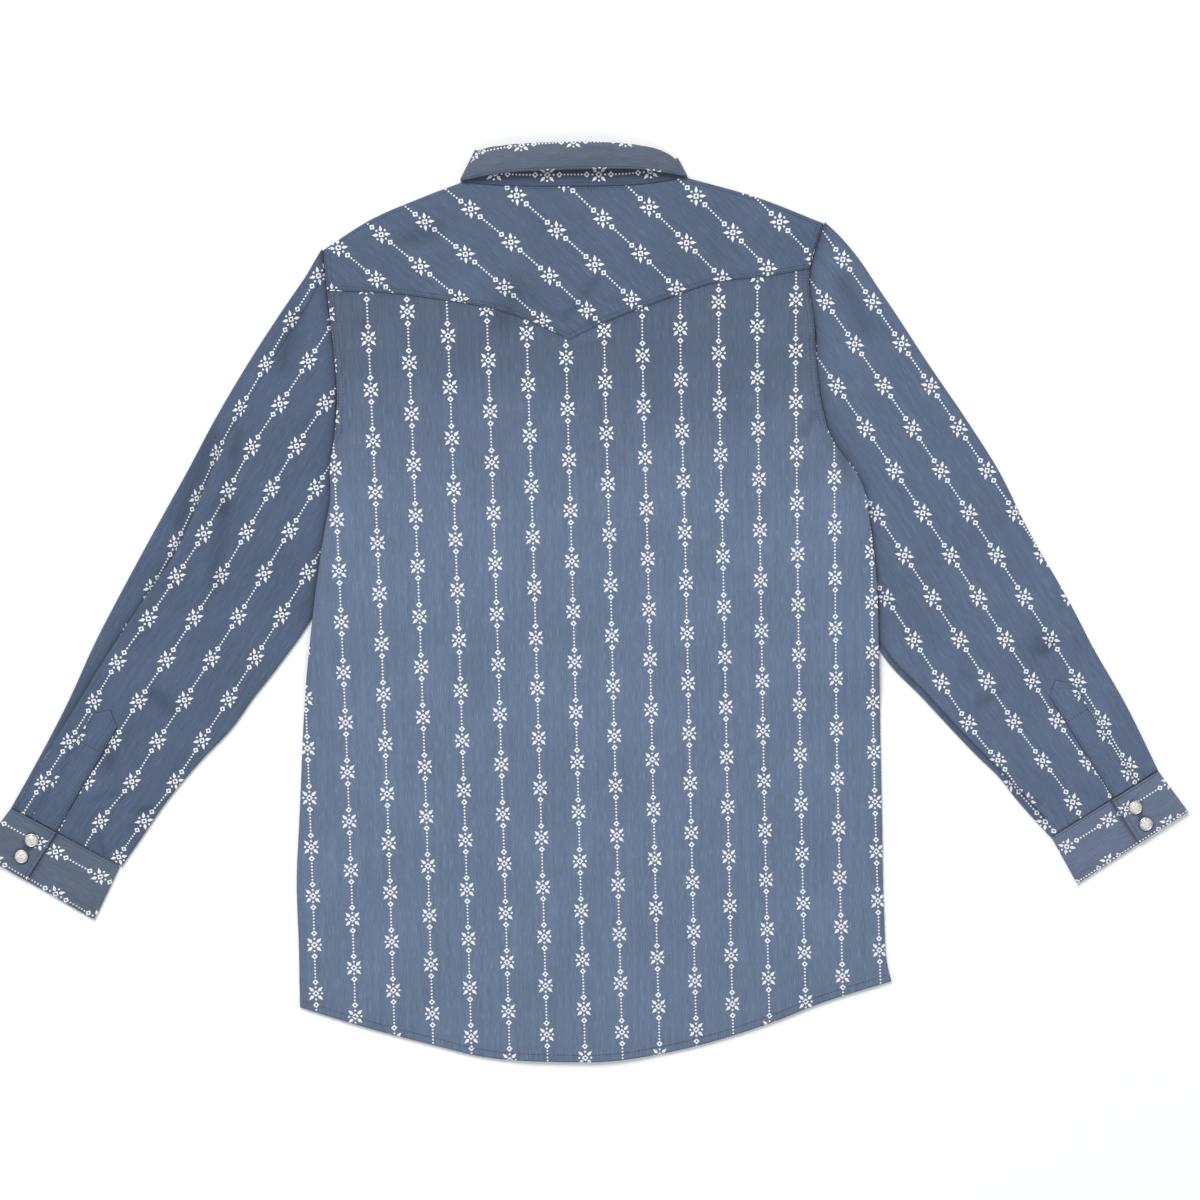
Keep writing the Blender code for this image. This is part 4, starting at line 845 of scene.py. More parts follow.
def flat_cloth(edges, below, plan, drawn):
    """Where a ring's points lie on the cloth when it is flat: the top stays, but for what is drawn in; the
    under side is mirrored at the outer fold, in a direction that is square to it near by and even further
    on; and the inner fold is rolled out, with its last point at the seam."""
    start, end, out, into = edges
    hidden = drawn[..., None] * out[:, None]
    from_fold = start[:, None] - below
    by_fold = np.exp(-np.linalg.norm(from_fold, axis=-1, keepdims=True) / MIRROR_TURNS_OVER)
    away = unit(out[:, None] * by_fold + unit(out.mean(0)) * (1 - by_fold))
    back = np.sum(from_fold * away, -1) * 2 + np.pi * EDGE_RADIUS + drawn[:, :1]
    reach = EDGE_RADIUS * (np.pi / 2 - ARC_ANGLES)[:, None]
    seam_reach = np.vstack([reach, [[np.pi * EDGE_RADIUS]]])
    return np.concatenate([below + back[..., None] * away,
                           start[:, None] + out[:, None] * reach[::-1] + hidden[:, :1],
                           plan + hidden,
                           end[:, None] + into[:, None] * seam_reach + hidden[:, -1:]], 1)


def strip_print(share, from_edge):
    """Stripe and repeat (u, v) past the right sleeve's seam, at distances from the sleeve's inner edge."""
    beyond = np.append(EDGE_RADIUS * (np.pi / 2 - ARC_ANGLES), np.pi * EDGE_RADIUS)
    from_edge = np.concatenate([from_edge, -beyond * np.ones_like(share)], 1)
    stripe = (STRIP_PRINT["inset"] - from_edge) / STRIPE_PITCH
    run = STRIP_PRINT["length"] * share**UNDERARM_PACE - STRIP_PRINT["flower"]
    stripe = np.where(share < STRIP_PRINT["from"], 0.5, stripe)
    return np.stack([stripe, np.broadcast_to(run / REPEAT, stripe.shape)], -1)


def sleeve_ring(side, rows=150):
    """A sleeve as closed rings: the under side from the inner edge out, round the outer fold, over the top
    and round the inner fold; its stripes and repeats, read at places on the flat cloth; and how much painted
    shade it gets in creases and beside the body."""
    share = fine_ends(rows, 0.35)[:, None]
    start, end, out, into, _ = (a[:, 0] if a.ndim == 3 else a for a in sleeve_edges(side, share))
    width = np.linalg.norm(end - start, axis=1)[:, None]
    inwards, raised, drawn, dark = (left_top if side == "left" else right_top)(share, width)
    across = inwards / width
    plan = sleeve_plan(side, np.broadcast_to(share, across.shape), across)
    top = with_height(plan, sleeve_top(share, across, plan) + raised)
    across_below = np.broadcast_to(even(BELOW_SPANS)[::-1], (rows + 1, BELOW_SPANS + 1))
    below = sleeve_plan(side, np.broadcast_to(share, across_below.shape), across_below)
    outer_fold, inner_fold = fold_arc(start, out, ARC_ANGLES[::-1]), fold_arc(end, into, ARC_ANGLES)
    ring = np.concatenate([with_height(below, 0 * across_below), outer_fold, top, inner_fold], 1)
    dark = np.maximum(dark + painted_fold_shade(plan[..., 0], plan[..., 1], SLEEVE_FOLDS), painted_body_shadow(top))
    dark = np.pad(dark, ((0, 0), (TOP_COLUMN, len(ARC_ANGLES))))
    uv = print_at(f"sleeve_{side}", flat_cloth((start, end, out, into), below, plan, drawn))
    if side == "right":
        uv[:, TOP_COLUMN + INSEAM_COLUMNS:] = strip_print(share, (width - inwards)[:, INSEAM_COLUMNS:])
    return ring, uv, dark


def painted_body_shadow(top):
    """Painted shadow of the body's edge on a sleeve's top: less with the distance from it."""
    return BODY_SHADE * np.maximum(*(beside(top, edge, BODY_SHADE_REACH) for edge in (LEFT_EDGE, RIGHT_EDGE)))


def fold_arc(centre, direction, angles):
    """Points round a folded edge: at each angle over the table, out along direction."""
    arc = [with_height(centre + direction * EDGE_RADIUS * math.cos(a),
                       np.full(len(centre), EDGE_RADIUS * (1 + math.sin(a)))) for a in angles]
    return np.stack(arc, 1)


# ---------------------------------------------------------------- cuffs and plackets

def line_across(cuff, share):
    """The outer and the inner ends of lines at shares of the way from a cuff's seam to its end."""
    share = np.asarray(share)[..., None, None]
    corners = np.array(cuff["seam"]) * (1 - share) + np.array(cuff["end"]) * share
    return corners[..., 0, :], corners[..., 1, :]


def cuff_section(width, lap):
    """Outer face of a cuff across its width, as (distance from the outer edge, height): the under end,
    round the inner edge, along the table, round the outer edge and back over as the lap."""
    big, small = (SLEEVE_HEIGHT + LAID_ON) / 2, EDGE_RADIUS
    angles = np.radians(np.arange(80, -81, -20))
    under = [(d, 2 * small) for d in np.linspace(lap - CUFF_UNDERLAP, width - small, CUFF_END_POINTS)]
    inner = [(width - small + small * math.cos(a), small * (1 + math.sin(a))) for a in angles]
    table = [(d, 0.0) for d in np.linspace(width - small, big, 30)]
    outer = [(big - big * math.cos(a), big * (1 + math.sin(a))) for a in angles[::-1]]
    over = [(d, 2 * big) for d in big + (lap - big) * fine_ends(CUFF_LAP_SPANS, 0.5)]
    return np.array(under + inner + table + outer + over)


def cuff_dimples(cuff, plan):
    """How far the two snaps press the lap in round them: a shallow ring that fades outwards."""
    dip = 0.0
    for place in snap_places(cuff):
        away = np.hypot(plan[..., 0] - place[0], plan[..., 1] - place[1])
        dip = dip - DIMPLE * ramp(away, DIMPLE_OVER)
    return dip


def cuff_print(cuff, section, down):
    """Stripe and repeat (u, v) across a cuff, down millimetres from its seam: the repeats go on round the
    inner edge, the under side and the outer edge to those of the lap."""
    strip, run = section[:, 0].copy(), run_of(section)
    lap_from = len(section) - CUFF_LAP_SPANS - 1
    strip[lap_from:] += cuff["lap_from"]
    ends = [CUFF_END_POINTS - 1, lap_from]
    strip[CUFF_END_POINTS:lap_from] = np.interp(run[CUFF_END_POINTS:lap_from], run[ends], strip[ends])
    at, number = np.array(cuff["repeats"]).T
    repeat = np.interp(strip, at, number)
    repeat = np.where(strip < at[0], (strip - at[0]) / REPEAT, repeat)
    repeat = np.where(strip > at[-1], number[-1] + (strip - at[-1]) / REPEAT, repeat)
    first_row, pitch = cuff["rows"]
    return np.stack([np.full_like(repeat, (down - first_row) / pitch), repeat], -1)


def cuff_grid(cuff, rows=34):
    """A cuff as a strip wound once round the wrist, quilted a little by its edge stitching: rows from the
    seam to the end, the stripe and repeat (u, v) at its points, and the painted shade at its seam, beside
    the lap's edge and round the snaps."""
    lines, prints, darks = [], [], []
    depth = np.linalg.norm(np.array(cuff["seam"][0]) - cuff["end"][0])
    for share in fine_ends(rows, 0.45):
        outer, inner = line_across(cuff, share)
        width = np.linalg.norm(inner - outer)
        lap = cuff["lap"] * width
        section = cuff_section(width, lap)
        plan = outer + (inner - outer) / width * section[:, :1]
        distance, height = section[:, 0], section[:, 1].copy()
        facing_up = np.arange(len(section)) < CUFF_END_POINTS
        on_lap = np.arange(len(section))[::-1] <= CUFF_LAP_SPANS
        top = facing_up | on_lap
        from_end, from_lap = min(share, 1 - share) * depth, lap - distance[on_lap]
        height[top] -= groove(from_end, CUFF_GROOVE_AT, CUFF_GROOVE)
        height[top] -= CUFF_ROLL * ramp(from_end, CUFF_ROLL_OVER)
        height[on_lap] -= groove(from_lap, LAP_ROW, LAP_GROOVE) + PRESSED_ROLL * ramp(from_lap, PRESSED_OVER)
        dimples = cuff_dimples(cuff, plan[on_lap])
        height[on_lap] += dimples
        height[top] += 0.35 * waves(*(1.7 * plan[top]).T) * ramp(from_end, (1.0, 10.0))
        # Painted shade at the seam, painted shadow beside the lap's edge and round the snaps
        dark = np.full(len(section), CUFF_SEAM_SHADE * math.exp(-share * depth / CUFF_SEAM_SHADE_REACH))
        by_lap = LAP_SHADE * np.exp(-np.abs(distance[facing_up] - lap) / LAP_SHADE_REACH)
        dark[facing_up] = np.clip(by_lap, dark[facing_up], 1.0)
        dark[on_lap] = np.maximum(dark[on_lap], SNAP_SHADE * (dimples < 0.01 - DIMPLE))
        lines.append(with_height(plan, height))
        prints.append(cuff_print(cuff, section, share * depth))
        darks.append(dark)
    return np.stack(lines), np.stack(prints), np.stack(darks)


def cuff_point(cuff, share, distance):
    """Points on the top of a cuff: share of its depth, distance from its outer edge."""
    outer, inner = line_across(cuff, share)
    width = np.linalg.norm(inner - outer, axis=1)
    plan = outer + (inner - outer) * (distance / width)[:, None]
    on_lap = distance < cuff["lap"] * width
    return with_height(plan, np.where(on_lap, SLEEVE_HEIGHT + LAID_ON, SLEEVE_HEIGHT) - 0.25)


def snap_places(cuff):
    """Centres of the two snaps on a cuff's lap."""
    places = []
    for share in cuff["snaps"]:
        outer, inner = line_across(cuff, share)
        width = np.linalg.norm(inner - outer)
        plan = outer + (inner - outer) / width * (cuff["lap"] * width - cuff["snap_inset"])
        places.append((*plan, SLEEVE_HEIGHT + LAID_ON + SEAM_GAP))
    return places


def hidden_snap_place(number):
    """Centre of a front snap on the table side of the band."""
    y = HIDDEN_SNAP_TOP - number * HIDDEN_SNAP_PITCH
    x = (BAND_LEFT + BAND_RIGHT) / 2
    return x, y, float(neck_lift(np.float64(x), np.float64(y)))


def placket_plan(side, along_it, across_it):
    """Places on a sleeve placket: along from its foot to its head, across from its outer edge; the head
    comes to a point in the middle."""
    placket = PLACKETS[side]
    foot, head = (np.array(placket[end][0]) * (1 - across_it[..., None]) + np.array(placket[end][1])
                  * across_it[..., None] for end in ("foot", "head"))
    run = unit(np.array(placket["head"][0]) + placket["head"][1] - placket["foot"][0] - placket["foot"][1])
    head = head + PLACKET_POINT * (1 - np.abs(2 * across_it - 1))[..., None] * run
    return foot * (1 - along_it[..., None]) + head * along_it[..., None]


def placket_grid(side):
    """A sleeve placket laid on its sleeve, its edges pressed and its two long rows of stitches sunk."""
    across, down = np.meshgrid(fine_ends(18, 0.4), fine_ends(56, 0.3))
    plan = placket_plan(side, down, across)
    grid = on_sleeve(side, plan, PLACKET_OVER)
    from_edge = np.minimum(across, 1 - across) * PLACKET_WIDTH
    from_head = (1 - down) * PLACKET_RUN
    grid[..., 2] -= groove(from_edge, PLACKET_GROOVE_AT, PLACKET_GROOVE)
    for distance in (from_edge, from_head):
        grid[..., 2] -= PRESSED_ROLL * ramp(distance, PRESSED_OVER)
    return grid


# ---------------------------------------------------------------- collar

def collar_run(rows, share_across, stations):
    """Grid of a run of sections, each the line or the quadratic curve that its 2 or 3 points set."""
    sections = dense_curve(rows, stations)
    points = sections.reshape(len(sections), -1, 3)
    t = np.asarray(share_across)[None, :, None]
    first, last = points[:, None, 0], points[:, None, -1]
    if points.shape[1] == 2:
        grid = first * (1 - t) + last * t
    else:
        grid = first * (1 - t) ** 2 + 2 * points[:, None, 1] * t * (1 - t) + last * t**2
    grid[..., 2] = np.maximum(grid[..., 2], np.array(rows)[:, 2].min())
    return grid


def fold_over(before, after, reach):
    """Rows round the fold between two runs, which end and start on one line at different heights."""
    start, end = before[-1], after[0]
    line = start[-1, :2] - start[0, :2]
    away = np.array((line[1], -line[0])) / np.linalg.norm(line)
    away *= np.sign(away @ (start[0, :2] - before[-3, 0, :2]))
    return np.stack([np.column_stack([start[:, :2] + away * reach * math.cos(a),
                                      start[:, 2] + (end[:, 2] - start[:, 2]) * (1 + math.sin(a)) / 2])
                     for a in np.radians(np.arange(-72, 73, 18))])


def collar_strip(tables, share_across, reach, stations):
    """A strip round the neck, in three runs with a fold between them."""
    runs = [collar_run(table, share_across, stations) for table in tables]
    folds = [fold_over(before, after, reach) for before, after in zip(runs[:-1], runs[1:], strict=True)]
    return np.concatenate([runs[0], folds[0], runs[1], folds[1], runs[2]])


def collar_print(grid, facts, from_last):
    """Stripe and repeat (u, v) on a collar strip: v by distance along its middle, u by distance across it
    from its free edge or from its seam."""
    middle = grid[:, grid.shape[1] // 2]
    run = run_of(middle)
    back = np.flatnonzero(middle[:, 2] >= ON_BACK)
    here = np.interp(facts["x"], middle[back, 0], run[back])
    v = np.broadcast_to(((run - here) / facts["repeat"])[:, None], grid.shape[:2])
    steps = np.linalg.norm(np.diff(grid, axis=1), axis=2)
    across = np.concatenate([np.zeros((len(grid), 1)), np.cumsum(steps, 1)], 1)
    if from_last:
        across = across[:, -1:] - across
    row = facts["row"] - facts["lean"] * ramp(grid[..., 0], (LEAN_FROM, LEAN_TO)) * (grid[..., 2] > ON_BACK)
    return np.stack([(across - row) / facts["pitch"], v], -1)


def fall_grid():
    """The collar's fall: over the roll, then down to its free edge, with a slight roll at the edge and
    small creases on the roll."""
    grid = collar_strip(FALL, fine_ends(30, 0.45), FALL_FOLD, 12)
    steps = np.linalg.norm(np.diff(grid, axis=1), axis=2)
    to_edge = np.concatenate([np.cumsum(steps[:, ::-1], 1)[:, ::-1], np.zeros((len(grid), 1))], 1)
    high = ramp(grid[..., 2], (7.0, 9.5))
    grid[..., 2] -= high * FALL_ROLL * ramp(to_edge, PRESSED_OVER)
    grid[..., 2] += high * relief(grid[..., 0], grid[..., 1], FALL_CREASES) * ramp(to_edge, (0.0, 3.0))
    return grid


def stand_grid():
    """The collar's stand, which lies nearly flat between the yoke's seam and the fall."""
    return collar_strip(STAND, fine_ends(12, 0.3), STAND_FOLD, 10)


# ---------------------------------------------------------------- panels of the body

def yoke_grid(half=84, rows=46):
    """The yoke: from the shoulders and the neck to its pointed seam."""
    shoulder = 32
    neck = 2 * half - 2 * shoulder
    top = joined(along(SHOULDER_LEFT, even(shoulder)), along(NECK_BACK, even(neck)),
                 along(SHOULDER_RIGHT, even(shoulder)))
    top[shoulder + 1:shoulder + neck, 1] += UNDER_STAND
    bottom = joined(along(YOKE_SEAM_LEFT, even(half)), along(YOKE_SEAM_RIGHT, even(half)))
    bottom = crowd_ends(bottom, 0.4)
    down = fine_ends(rows, 0.6)
    left, right = along(ARMHOLE_LEFT_YOKE, down), along(ARMHOLE_RIGHT_YOKE, down)
    plan = patch(top, bottom, left, right, shares_of(bottom), down)
    height = yoke_top(plan[..., 0], plan[..., 1])
    from_top = np.linalg.norm(plan - plan[:1], axis=-1)
    neck_columns = slice(shoulder + 1, shoulder + neck)
    drop = SHOULDER_DROP * ramp(from_top, SHOULDER_DROP_OVER)
    drop[:, neck_columns] = NECK_DROP * ramp(from_top[:, neck_columns], NECK_DROP_OVER)
    return with_height(plan, height - drop)


def crowd_ends(line, crowding):
    """The same line with its points closer together at both ends; its middle point stays."""
    run = run_of(line)
    half = len(line) // 2
    first = fine_ends(2 * half, crowding)[: half + 1] * 2
    return np.vstack([on_line(line, first * run[half]),
                      on_line(line, run[half] + (run[-1] - run[half]) * (1 - first[::-1])[1:])])


def back_grid(half=80, rows=212):
    """The back: from under the yoke to the turned hem."""
    seam = joined(along(YOKE_SEAM_LEFT, even(half)), along(YOKE_SEAM_RIGHT, even(half)))
    top = crowd_ends(seam, 0.5) + np.array((0.0, UNDER_YOKE))
    across = shares_of(top)
    down = fine_ends(rows, 0.55)
    edges = []
    for parts in ((ARMHOLE_LEFT_BACK, SIDE_LEFT), (ARMHOLE_RIGHT_BACK, SIDE_RIGHT)):
        line = joined(*(dense_curve(part) for part in parts))
        line = np.vstack([line[:1] + np.array((0.0, UNDER_YOKE)), line])
        edges.append(on_line(line, down * run_of(line)[-1]))
    plan = patch(top, along(HEM, across), *edges, across, down)
    x, y = plan[..., 0], plan[..., 1]
    return with_height(plan, back_face(x, y) - YOKE_DIP * ramp(yoke_distance(x, y), YOKE_DIP_OVER))


def front_grid(side, rows=150, columns=60):
    """A front on the table: its outer face is below, its side and shoulder drawn up to the back."""
    if side == "left":
        edge, shoulder, neck = LEFT_EDGE, SHOULDER_LEFT, NECK_FRONT_LEFT
        middle, hem_shares = BAND_LEFT - SEAM_GAP, (0.0, 0.405)
    else:
        edge, shoulder, neck = RIGHT_EDGE, SHOULDER_RIGHT[::-1], NECK_FRONT_RIGHT[::-1]
        middle, hem_shares = RIGHT_FRONT_EDGE, (1.0, 0.412)
    top = joined(along(shoulder, even(columns // 2)), along(neck, even(columns // 2)))
    across, down = shares_of(top), fine_ends(rows, 0.4)
    side_line = on_line(edge, down * run_of(edge)[-1])
    hem = along(HEM, np.interp(across, (0, 1), hem_shares))
    centre = np.stack([np.full(len(down), middle), np.interp(down, (0, 1), (top[-1, 1], hem[-1, 1]))], 1)
    hem[-1, 0] = middle
    plan = patch(top, hem, side_line, centre, across, down)
    x, y = plan[..., 0], plan[..., 1]
    distance, at_armhole = side_distance(x, y)
    height = side_lift(x, y) + neck_lift(x, y) + (lap_lift(x) if side == "right" else 0.0)
    drawn_up = FRONT_RISE * ramp(distance, FRONT_RISE_OVER)
    height = height + drawn_up * (1 - (1 - FRONT_RISE_SHARE) * at_armhole)
    from_shoulder = np.linalg.norm(plan - plan[:1], axis=-1)
    on_shoulder = np.arange(plan.shape[1])[None] < columns // 2
    return with_height(plan, height + FRONT_RISE * ramp(from_shoulder, SHOULDER_DROP_OVER) * on_shoulder)


def band_grid():
    """The placket band on the table, pressed up round each snap so that the snap lies level with it."""
    y, x = np.meshgrid(np.linspace(BAND_TOP, BAND_BOTTOM, 330), np.linspace(BAND_LEFT, BAND_RIGHT, 20),
                       indexing="ij")
    plan = np.stack([x, y], -1)
    height = neck_lift(x, y)
    for number in range(HIDDEN_SNAPS):
        place = hidden_snap_place(number)
        away = np.hypot(x - place[0], y - place[1])
        height = height + 1.05 * ramp(away, (8.6, 6.4))
    from_edge = np.minimum(x - BAND_LEFT, BAND_RIGHT - x)
    height += 0.12 * np.exp(-(from_edge - BAND_ROW) ** 2)
    return with_height(plan, height)


# ---------------------------------------------------------------- Blender meshes

def new_mesh(name, points, faces, finish, smooth=True):
    """An object from points in millimetres and faces that hold their indices."""
    mesh = bpy.data.meshes.new(name)
    mesh.from_pydata((np.asarray(points) * MM).tolist(), [], faces)
    mesh.materials.append(finish)
    if smooth:
        mesh.shade_smooth()
    made = bpy.data.objects.new(name, mesh)
    bpy.context.scene.collection.objects.link(made)
    return made


def beside(plan, line, reach):
    """How near places (x, y) are to a line: exp(-distance / reach), with the distance to the nearest of the
    line's points, 2 mm apart."""
    marks = on_line(line, np.arange(0.0, run_of(line)[-1], 2.0))
    distance = np.min(np.linalg.norm(plan[..., None, :2] - marks[:, :2], axis=-1), axis=-1)
    return np.exp(-np.maximum(distance - 0.8, 0.0) / reach)


def shell(name, grid, uv, facing, finish, stands_for, slot="chambray", closed=False, wall=None, edge=None,
          dark=None):
    """A layer of cloth: grid[row, column] = (x, y, z) is its outer face, whose first columns face facing,
    uv its stripes and repeats, edge how near a seam its points are (for gathers and painted shade there),
    and dark how much painted shade of a crease or an overlap it gets, both from 0 to 1. A Solidify
    modifier puts its wall behind it."""
    rows, columns = grid.shape[:2]
    index = np.arange(rows * columns).reshape(rows, columns)
    uv_index = np.arange(uv.shape[0] * uv.shape[1]).reshape(uv.shape[:2])
    if closed:
        index = np.hstack([index, index[:, :1]])
    order = [(slice(None, -1), slice(None, -1)), (slice(None, -1), slice(1, None)),
             (slice(1, None), slice(1, None)), (slice(1, None), slice(None, -1))]
    first = max(2, rows // 10)
    along_row, down = grid[:first, 1] - grid[:first, 0], grid[1:first + 1, 0] - grid[:first, 0]
    if np.sum(np.cross(along_row, down)[:, 2]) * facing < 0:
        order.reverse()
    faces = np.stack([index[where] for where in order], -1).reshape(-1, 4)
    made = new_mesh(name, grid.reshape(-1, 3), faces.tolist(), finish)
    layer = made.data.uv_layers.new(name="print")
    corners = np.stack([uv_index[where] for where in order], -1).reshape(-1)
    layer.data.foreach_set("uv", uv.reshape(-1, 2)[corners].astype(np.float32).ravel())
    for label, values in (("near_seam", edge), ("dark", dark)):
        values = np.broadcast_to(0.0 if values is None else values, (rows, columns)).astype(np.float32)
        made.data.attributes.new(label, "FLOAT", "POINT").data.foreach_set("value", values.ravel())
    solid = made.modifiers.new("wall", "SOLIDIFY")
    solid.thickness = (bpy.context.scene.shirt_cloth.wall if wall is None else wall) * MM
    solid.offset = -1.0
    dress(made, slot, *stands_for)
    return made


def dress(made, slot, *stands_for):
    """Attaches a piece to the root and hides the solids that it stands for; slot is not used."""
    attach(made, "root")
    if stands_for:
        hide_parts(*stands_for)


def stitches(name, rows, finish):
    """Rows of stitches as one mesh. Each row is (points along it, 1 for stitches on top or -1 below). A
    stitch is a bead of four rings of five points, thin at both ends, where it goes into the cloth."""
    sewing = bpy.context.scene.shirt_sewing
    rings_at = np.array((-0.5, -0.34, 0.34, 0.5))[:, None, None] * sewing.stitch
    rings_width = np.array((0.35, 1.0, 1.0, 0.35))[:, None, None] * sewing.radius
    rings_lift = np.array((-0.5, 0.35, 0.35, -0.5))[:, None, None] * sewing.radius
    turn = np.arange(5) * 2 * np.pi / 5
    points = []
    for line, facing in rows:
        run = run_of(line)
        at = np.arange(sewing.pitch / 2, run[-1], sewing.pitch)
        centre = on_line(line, at)
        way = unit(on_line(line, at + 0.5) - on_line(line, at - 0.5))
        up = np.zeros_like(way)
        up[:, 2] = facing
        side = unit(np.cross(way, up))
        up = np.cross(side, way)
        middle, way, up, side = (a[:, None, None] for a in (centre, way, up, side))
        round_it = side * np.cos(turn)[:, None] + up * np.sin(turn)[:, None]
        ring = middle + way * rings_at + up * rings_lift + round_it * rings_width
        points.append(ring.reshape(-1, 3))
    points = np.concatenate(points)
    first = (np.arange(len(points) // 20) * 20)[:, None]
    ring, step = np.repeat(np.arange(3), 5) * 5, np.tile(np.arange(5), 3)
    ahead = (step + 1) % 5
    sides = np.stack([ring + step, ring + ahead, ring + 5 + ahead, ring + 5 + step], -1)[:, ::-1]
    quads = (first[:, None] + sides[None]).reshape(-1, 4).tolist()
    caps = np.concatenate([first + np.arange(5)[None], first + 15 + np.arange(5)[None, ::-1]]).tolist()
    made = new_mesh(name, points, quads + caps, finish)
    dress(made, "chambray")
    return made


def turned(name, profile, sides, place, finishes, facing=UP):
    """A round part from a profile of (radius, height, finish), closed at the axis, at a place."""
    radius, height = np.array([p[0] for p in profile]), np.array([p[1] for p in profile])
    angle = np.arange(sides) * 2 * np.pi / sides
    ring = np.stack([radius[1:-1, None] * np.cos(angle), radius[1:-1, None] * np.sin(angle),
                     np.broadcast_to(height[1:-1, None], (len(radius) - 2, sides))], -1).reshape(-1, 3)
    points = np.vstack([ring, (0, 0, height[0]), (0, 0, height[-1])])
    points[:, 2] *= facing
    count = len(radius) - 2
    step = np.arange(sides)
    ahead = (step + 1) % sides
    faces, paint = [], []
    for k in range(count - 1):
        above, below = k * sides, (k + 1) * sides
        quad = np.stack([above + step, below + step, below + ahead, above + ahead], -1)
        faces += (quad if facing == UP else quad[:, ::-1]).tolist()
        paint += [profile[k + 2][2]] * sides
    first, last = count * sides, count * sides + 1
    top = np.stack([np.full(sides, first), step, ahead], -1)
    base = (count - 1) * sides
    bottom = np.stack([np.full(sides, last), base + ahead, base + step], -1)
    for fan, colour in ((top, profile[1][2]), (bottom, profile[-1][2])):
        faces += (fan if facing == UP else fan[:, ::-1]).tolist()
        paint += [colour] * sides
    made = new_mesh(name, points + np.array(place), faces, finishes[0])
    for finish in finishes[1:]:
        made.data.materials.append(finish)
    made.data.polygons.foreach_set("material_index", paint)
    made.data.set_sharp_from_angle(angle=math.radians(50))
    return made


# ---------------------------------------------------------------- materials

# Noise in the weave. Rows: scale across the yarns and along them, detail, place in the noise, weight
YARNS = {
    "slub": (2.0, 0.08, 2.0, 0.0, 1.2),
    "streak": (0.28, 0.012, 3.0, 7.0, 0.8),
    "weft": (0.08, 1.6, 2.0, 13.0, 0.3),
    "heather": (1.5, 1.2, 3.0, 19.0, 0.9),
    "cloud": (0.018, 0.014, 2.0, 29.0, 0.55),
}
GATHERS, GATHERED_BUMP = (0.11, 0.11, 1.0, 41.0), 5.0
LONE_SLUB_OVER, LONE_SLUB = 0.58, 3.6   # the noise over which a yarn is a lone slub, and its strength
# Painted shade near seams: how much darker the colour is on one
NEAR_SEAM_PAINTED_SHADE = 0.12
# How much the painted shade darkens the colour where "dark" is 1
DEEPEST_PAINTED_SHADE = 0.62
PRINT_WORN = (0.2, 0.86)                # how much the heathered weave adds to the print, and the least of it
CLOTH_ROUGHNESS = (0.18, 0.76)          # likewise


class Sums:
    """Adds Math nodes to a tree: each call is one sum and gives back its result."""

    def __init__(self, tree):
        self.tree = tree

    def __call__(self, operation, *values, clamp=False):
        node = self.tree.nodes.new("ShaderNodeMath")
        node.operation = operation
        node.use_clamp = clamp
        for socket, value in zip(node.inputs, values):
            if isinstance(value, bpy.types.NodeSocket):
                self.tree.links.new(value, socket)
            else:
                socket.default_value = value
        return node.outputs[0]

    def inside(self, distance, size, soft=PRINT_SOFTNESS):
        """1 where distance is under size and 0 past it, with a soft edge."""
        return self("MULTIPLY_ADD", distance, -1 / soft, size / soft + 0.5, clamp=True)

    def length(self, a, b):
        """Length of the vector (a, b)."""
        return self("SQRT", self("MULTIPLY_ADD", a, a, self("MULTIPLY", b, b)))

    def largest(self, *values):
        """The largest of several results."""
        best = values[0]
        for value in values[1:]:
            best = self("MAXIMUM", best, value)
        return best


def print_mask(sums, u, v):
    """1 on the print and 0 between it. Stripes lie at whole u; a flower lies at whole v on even stripes
    and half-way on odd ones. Each repeat has a flower of a ringed diamond, four petals and four dots, a
    small ringed diamond on both sides of it and a chain of six dots."""
    stripe = sums("ROUND", u)
    off = sums("MULTIPLY", sums("ABSOLUTE", sums("SUBTRACT", u, stripe)), STRIPE_PITCH)
    odd = sums("FLOORED_MODULO", stripe, 2.0)
    shifted = sums("MULTIPLY_ADD", odd, 0.5, v)
    run = sums("MULTIPLY", sums("ABSOLUTE", sums("SUBTRACT", shifted, sums("ROUND", shifted))), REPEAT)

    def ringed(at, half_diagonal, eye):
        ahead = sums("ABSOLUTE", sums("SUBTRACT", run, at))
        diamond = sums.inside(sums("ADD", off, ahead), half_diagonal)
        return sums("MULTIPLY", diamond, sums("SUBTRACT", 1.0, sums.inside(sums.length(off, ahead), eye)))

    outward = sums("MULTIPLY", sums("ADD", off, run), math.sqrt(0.5))
    aside = sums("ABSOLUTE", sums("MULTIPLY", sums("SUBTRACT", off, run), math.sqrt(0.5)))
    widening = sums("MULTIPLY_ADD", outward, PETAL_RISE, -PETAL_START * PETAL_RISE)
    narrowing = sums("MULTIPLY_ADD", outward, -PETAL_FALL, PETAL_END * PETAL_FALL)
    petal_width = sums("MINIMUM", sums("MINIMUM", widening, narrowing), PETAL_WIDTH)
    petal = sums.inside(sums("SUBTRACT", aside, petal_width), 0.0)
    dot_along = sums.inside(sums.length(off, sums("SUBTRACT", run, DOT_ALONG)), DOT)
    dot_across = sums.inside(sums.length(sums("SUBTRACT", off, DOT_ACROSS), run), DOT)
    from_half = sums("SUBTRACT", REPEAT / 2, run)
    in_chain = sums("SUBTRACT", sums("MODULO", from_half, CHAIN_PITCH), CHAIN_PITCH / 2)
    chain_dot = sums.inside(sums.length(off, in_chain), CHAIN_DOT)
    chain = sums("MULTIPLY", chain_dot, sums.inside(from_half, CHAIN_END))
    return sums.largest(ringed(0.0, RING, RING_EYE), ringed(SMALL_RING_AT, SMALL_RING, SMALL_RING_EYE),
                        petal, dot_along, dot_across, chain)


def new_finish(name):
    """A material with an empty Principled shader, and its tree."""
    made = bpy.data.materials.new(name)
    made.use_nodes = True
    return made, made.node_tree, made.node_tree.nodes["Principled BSDF"]


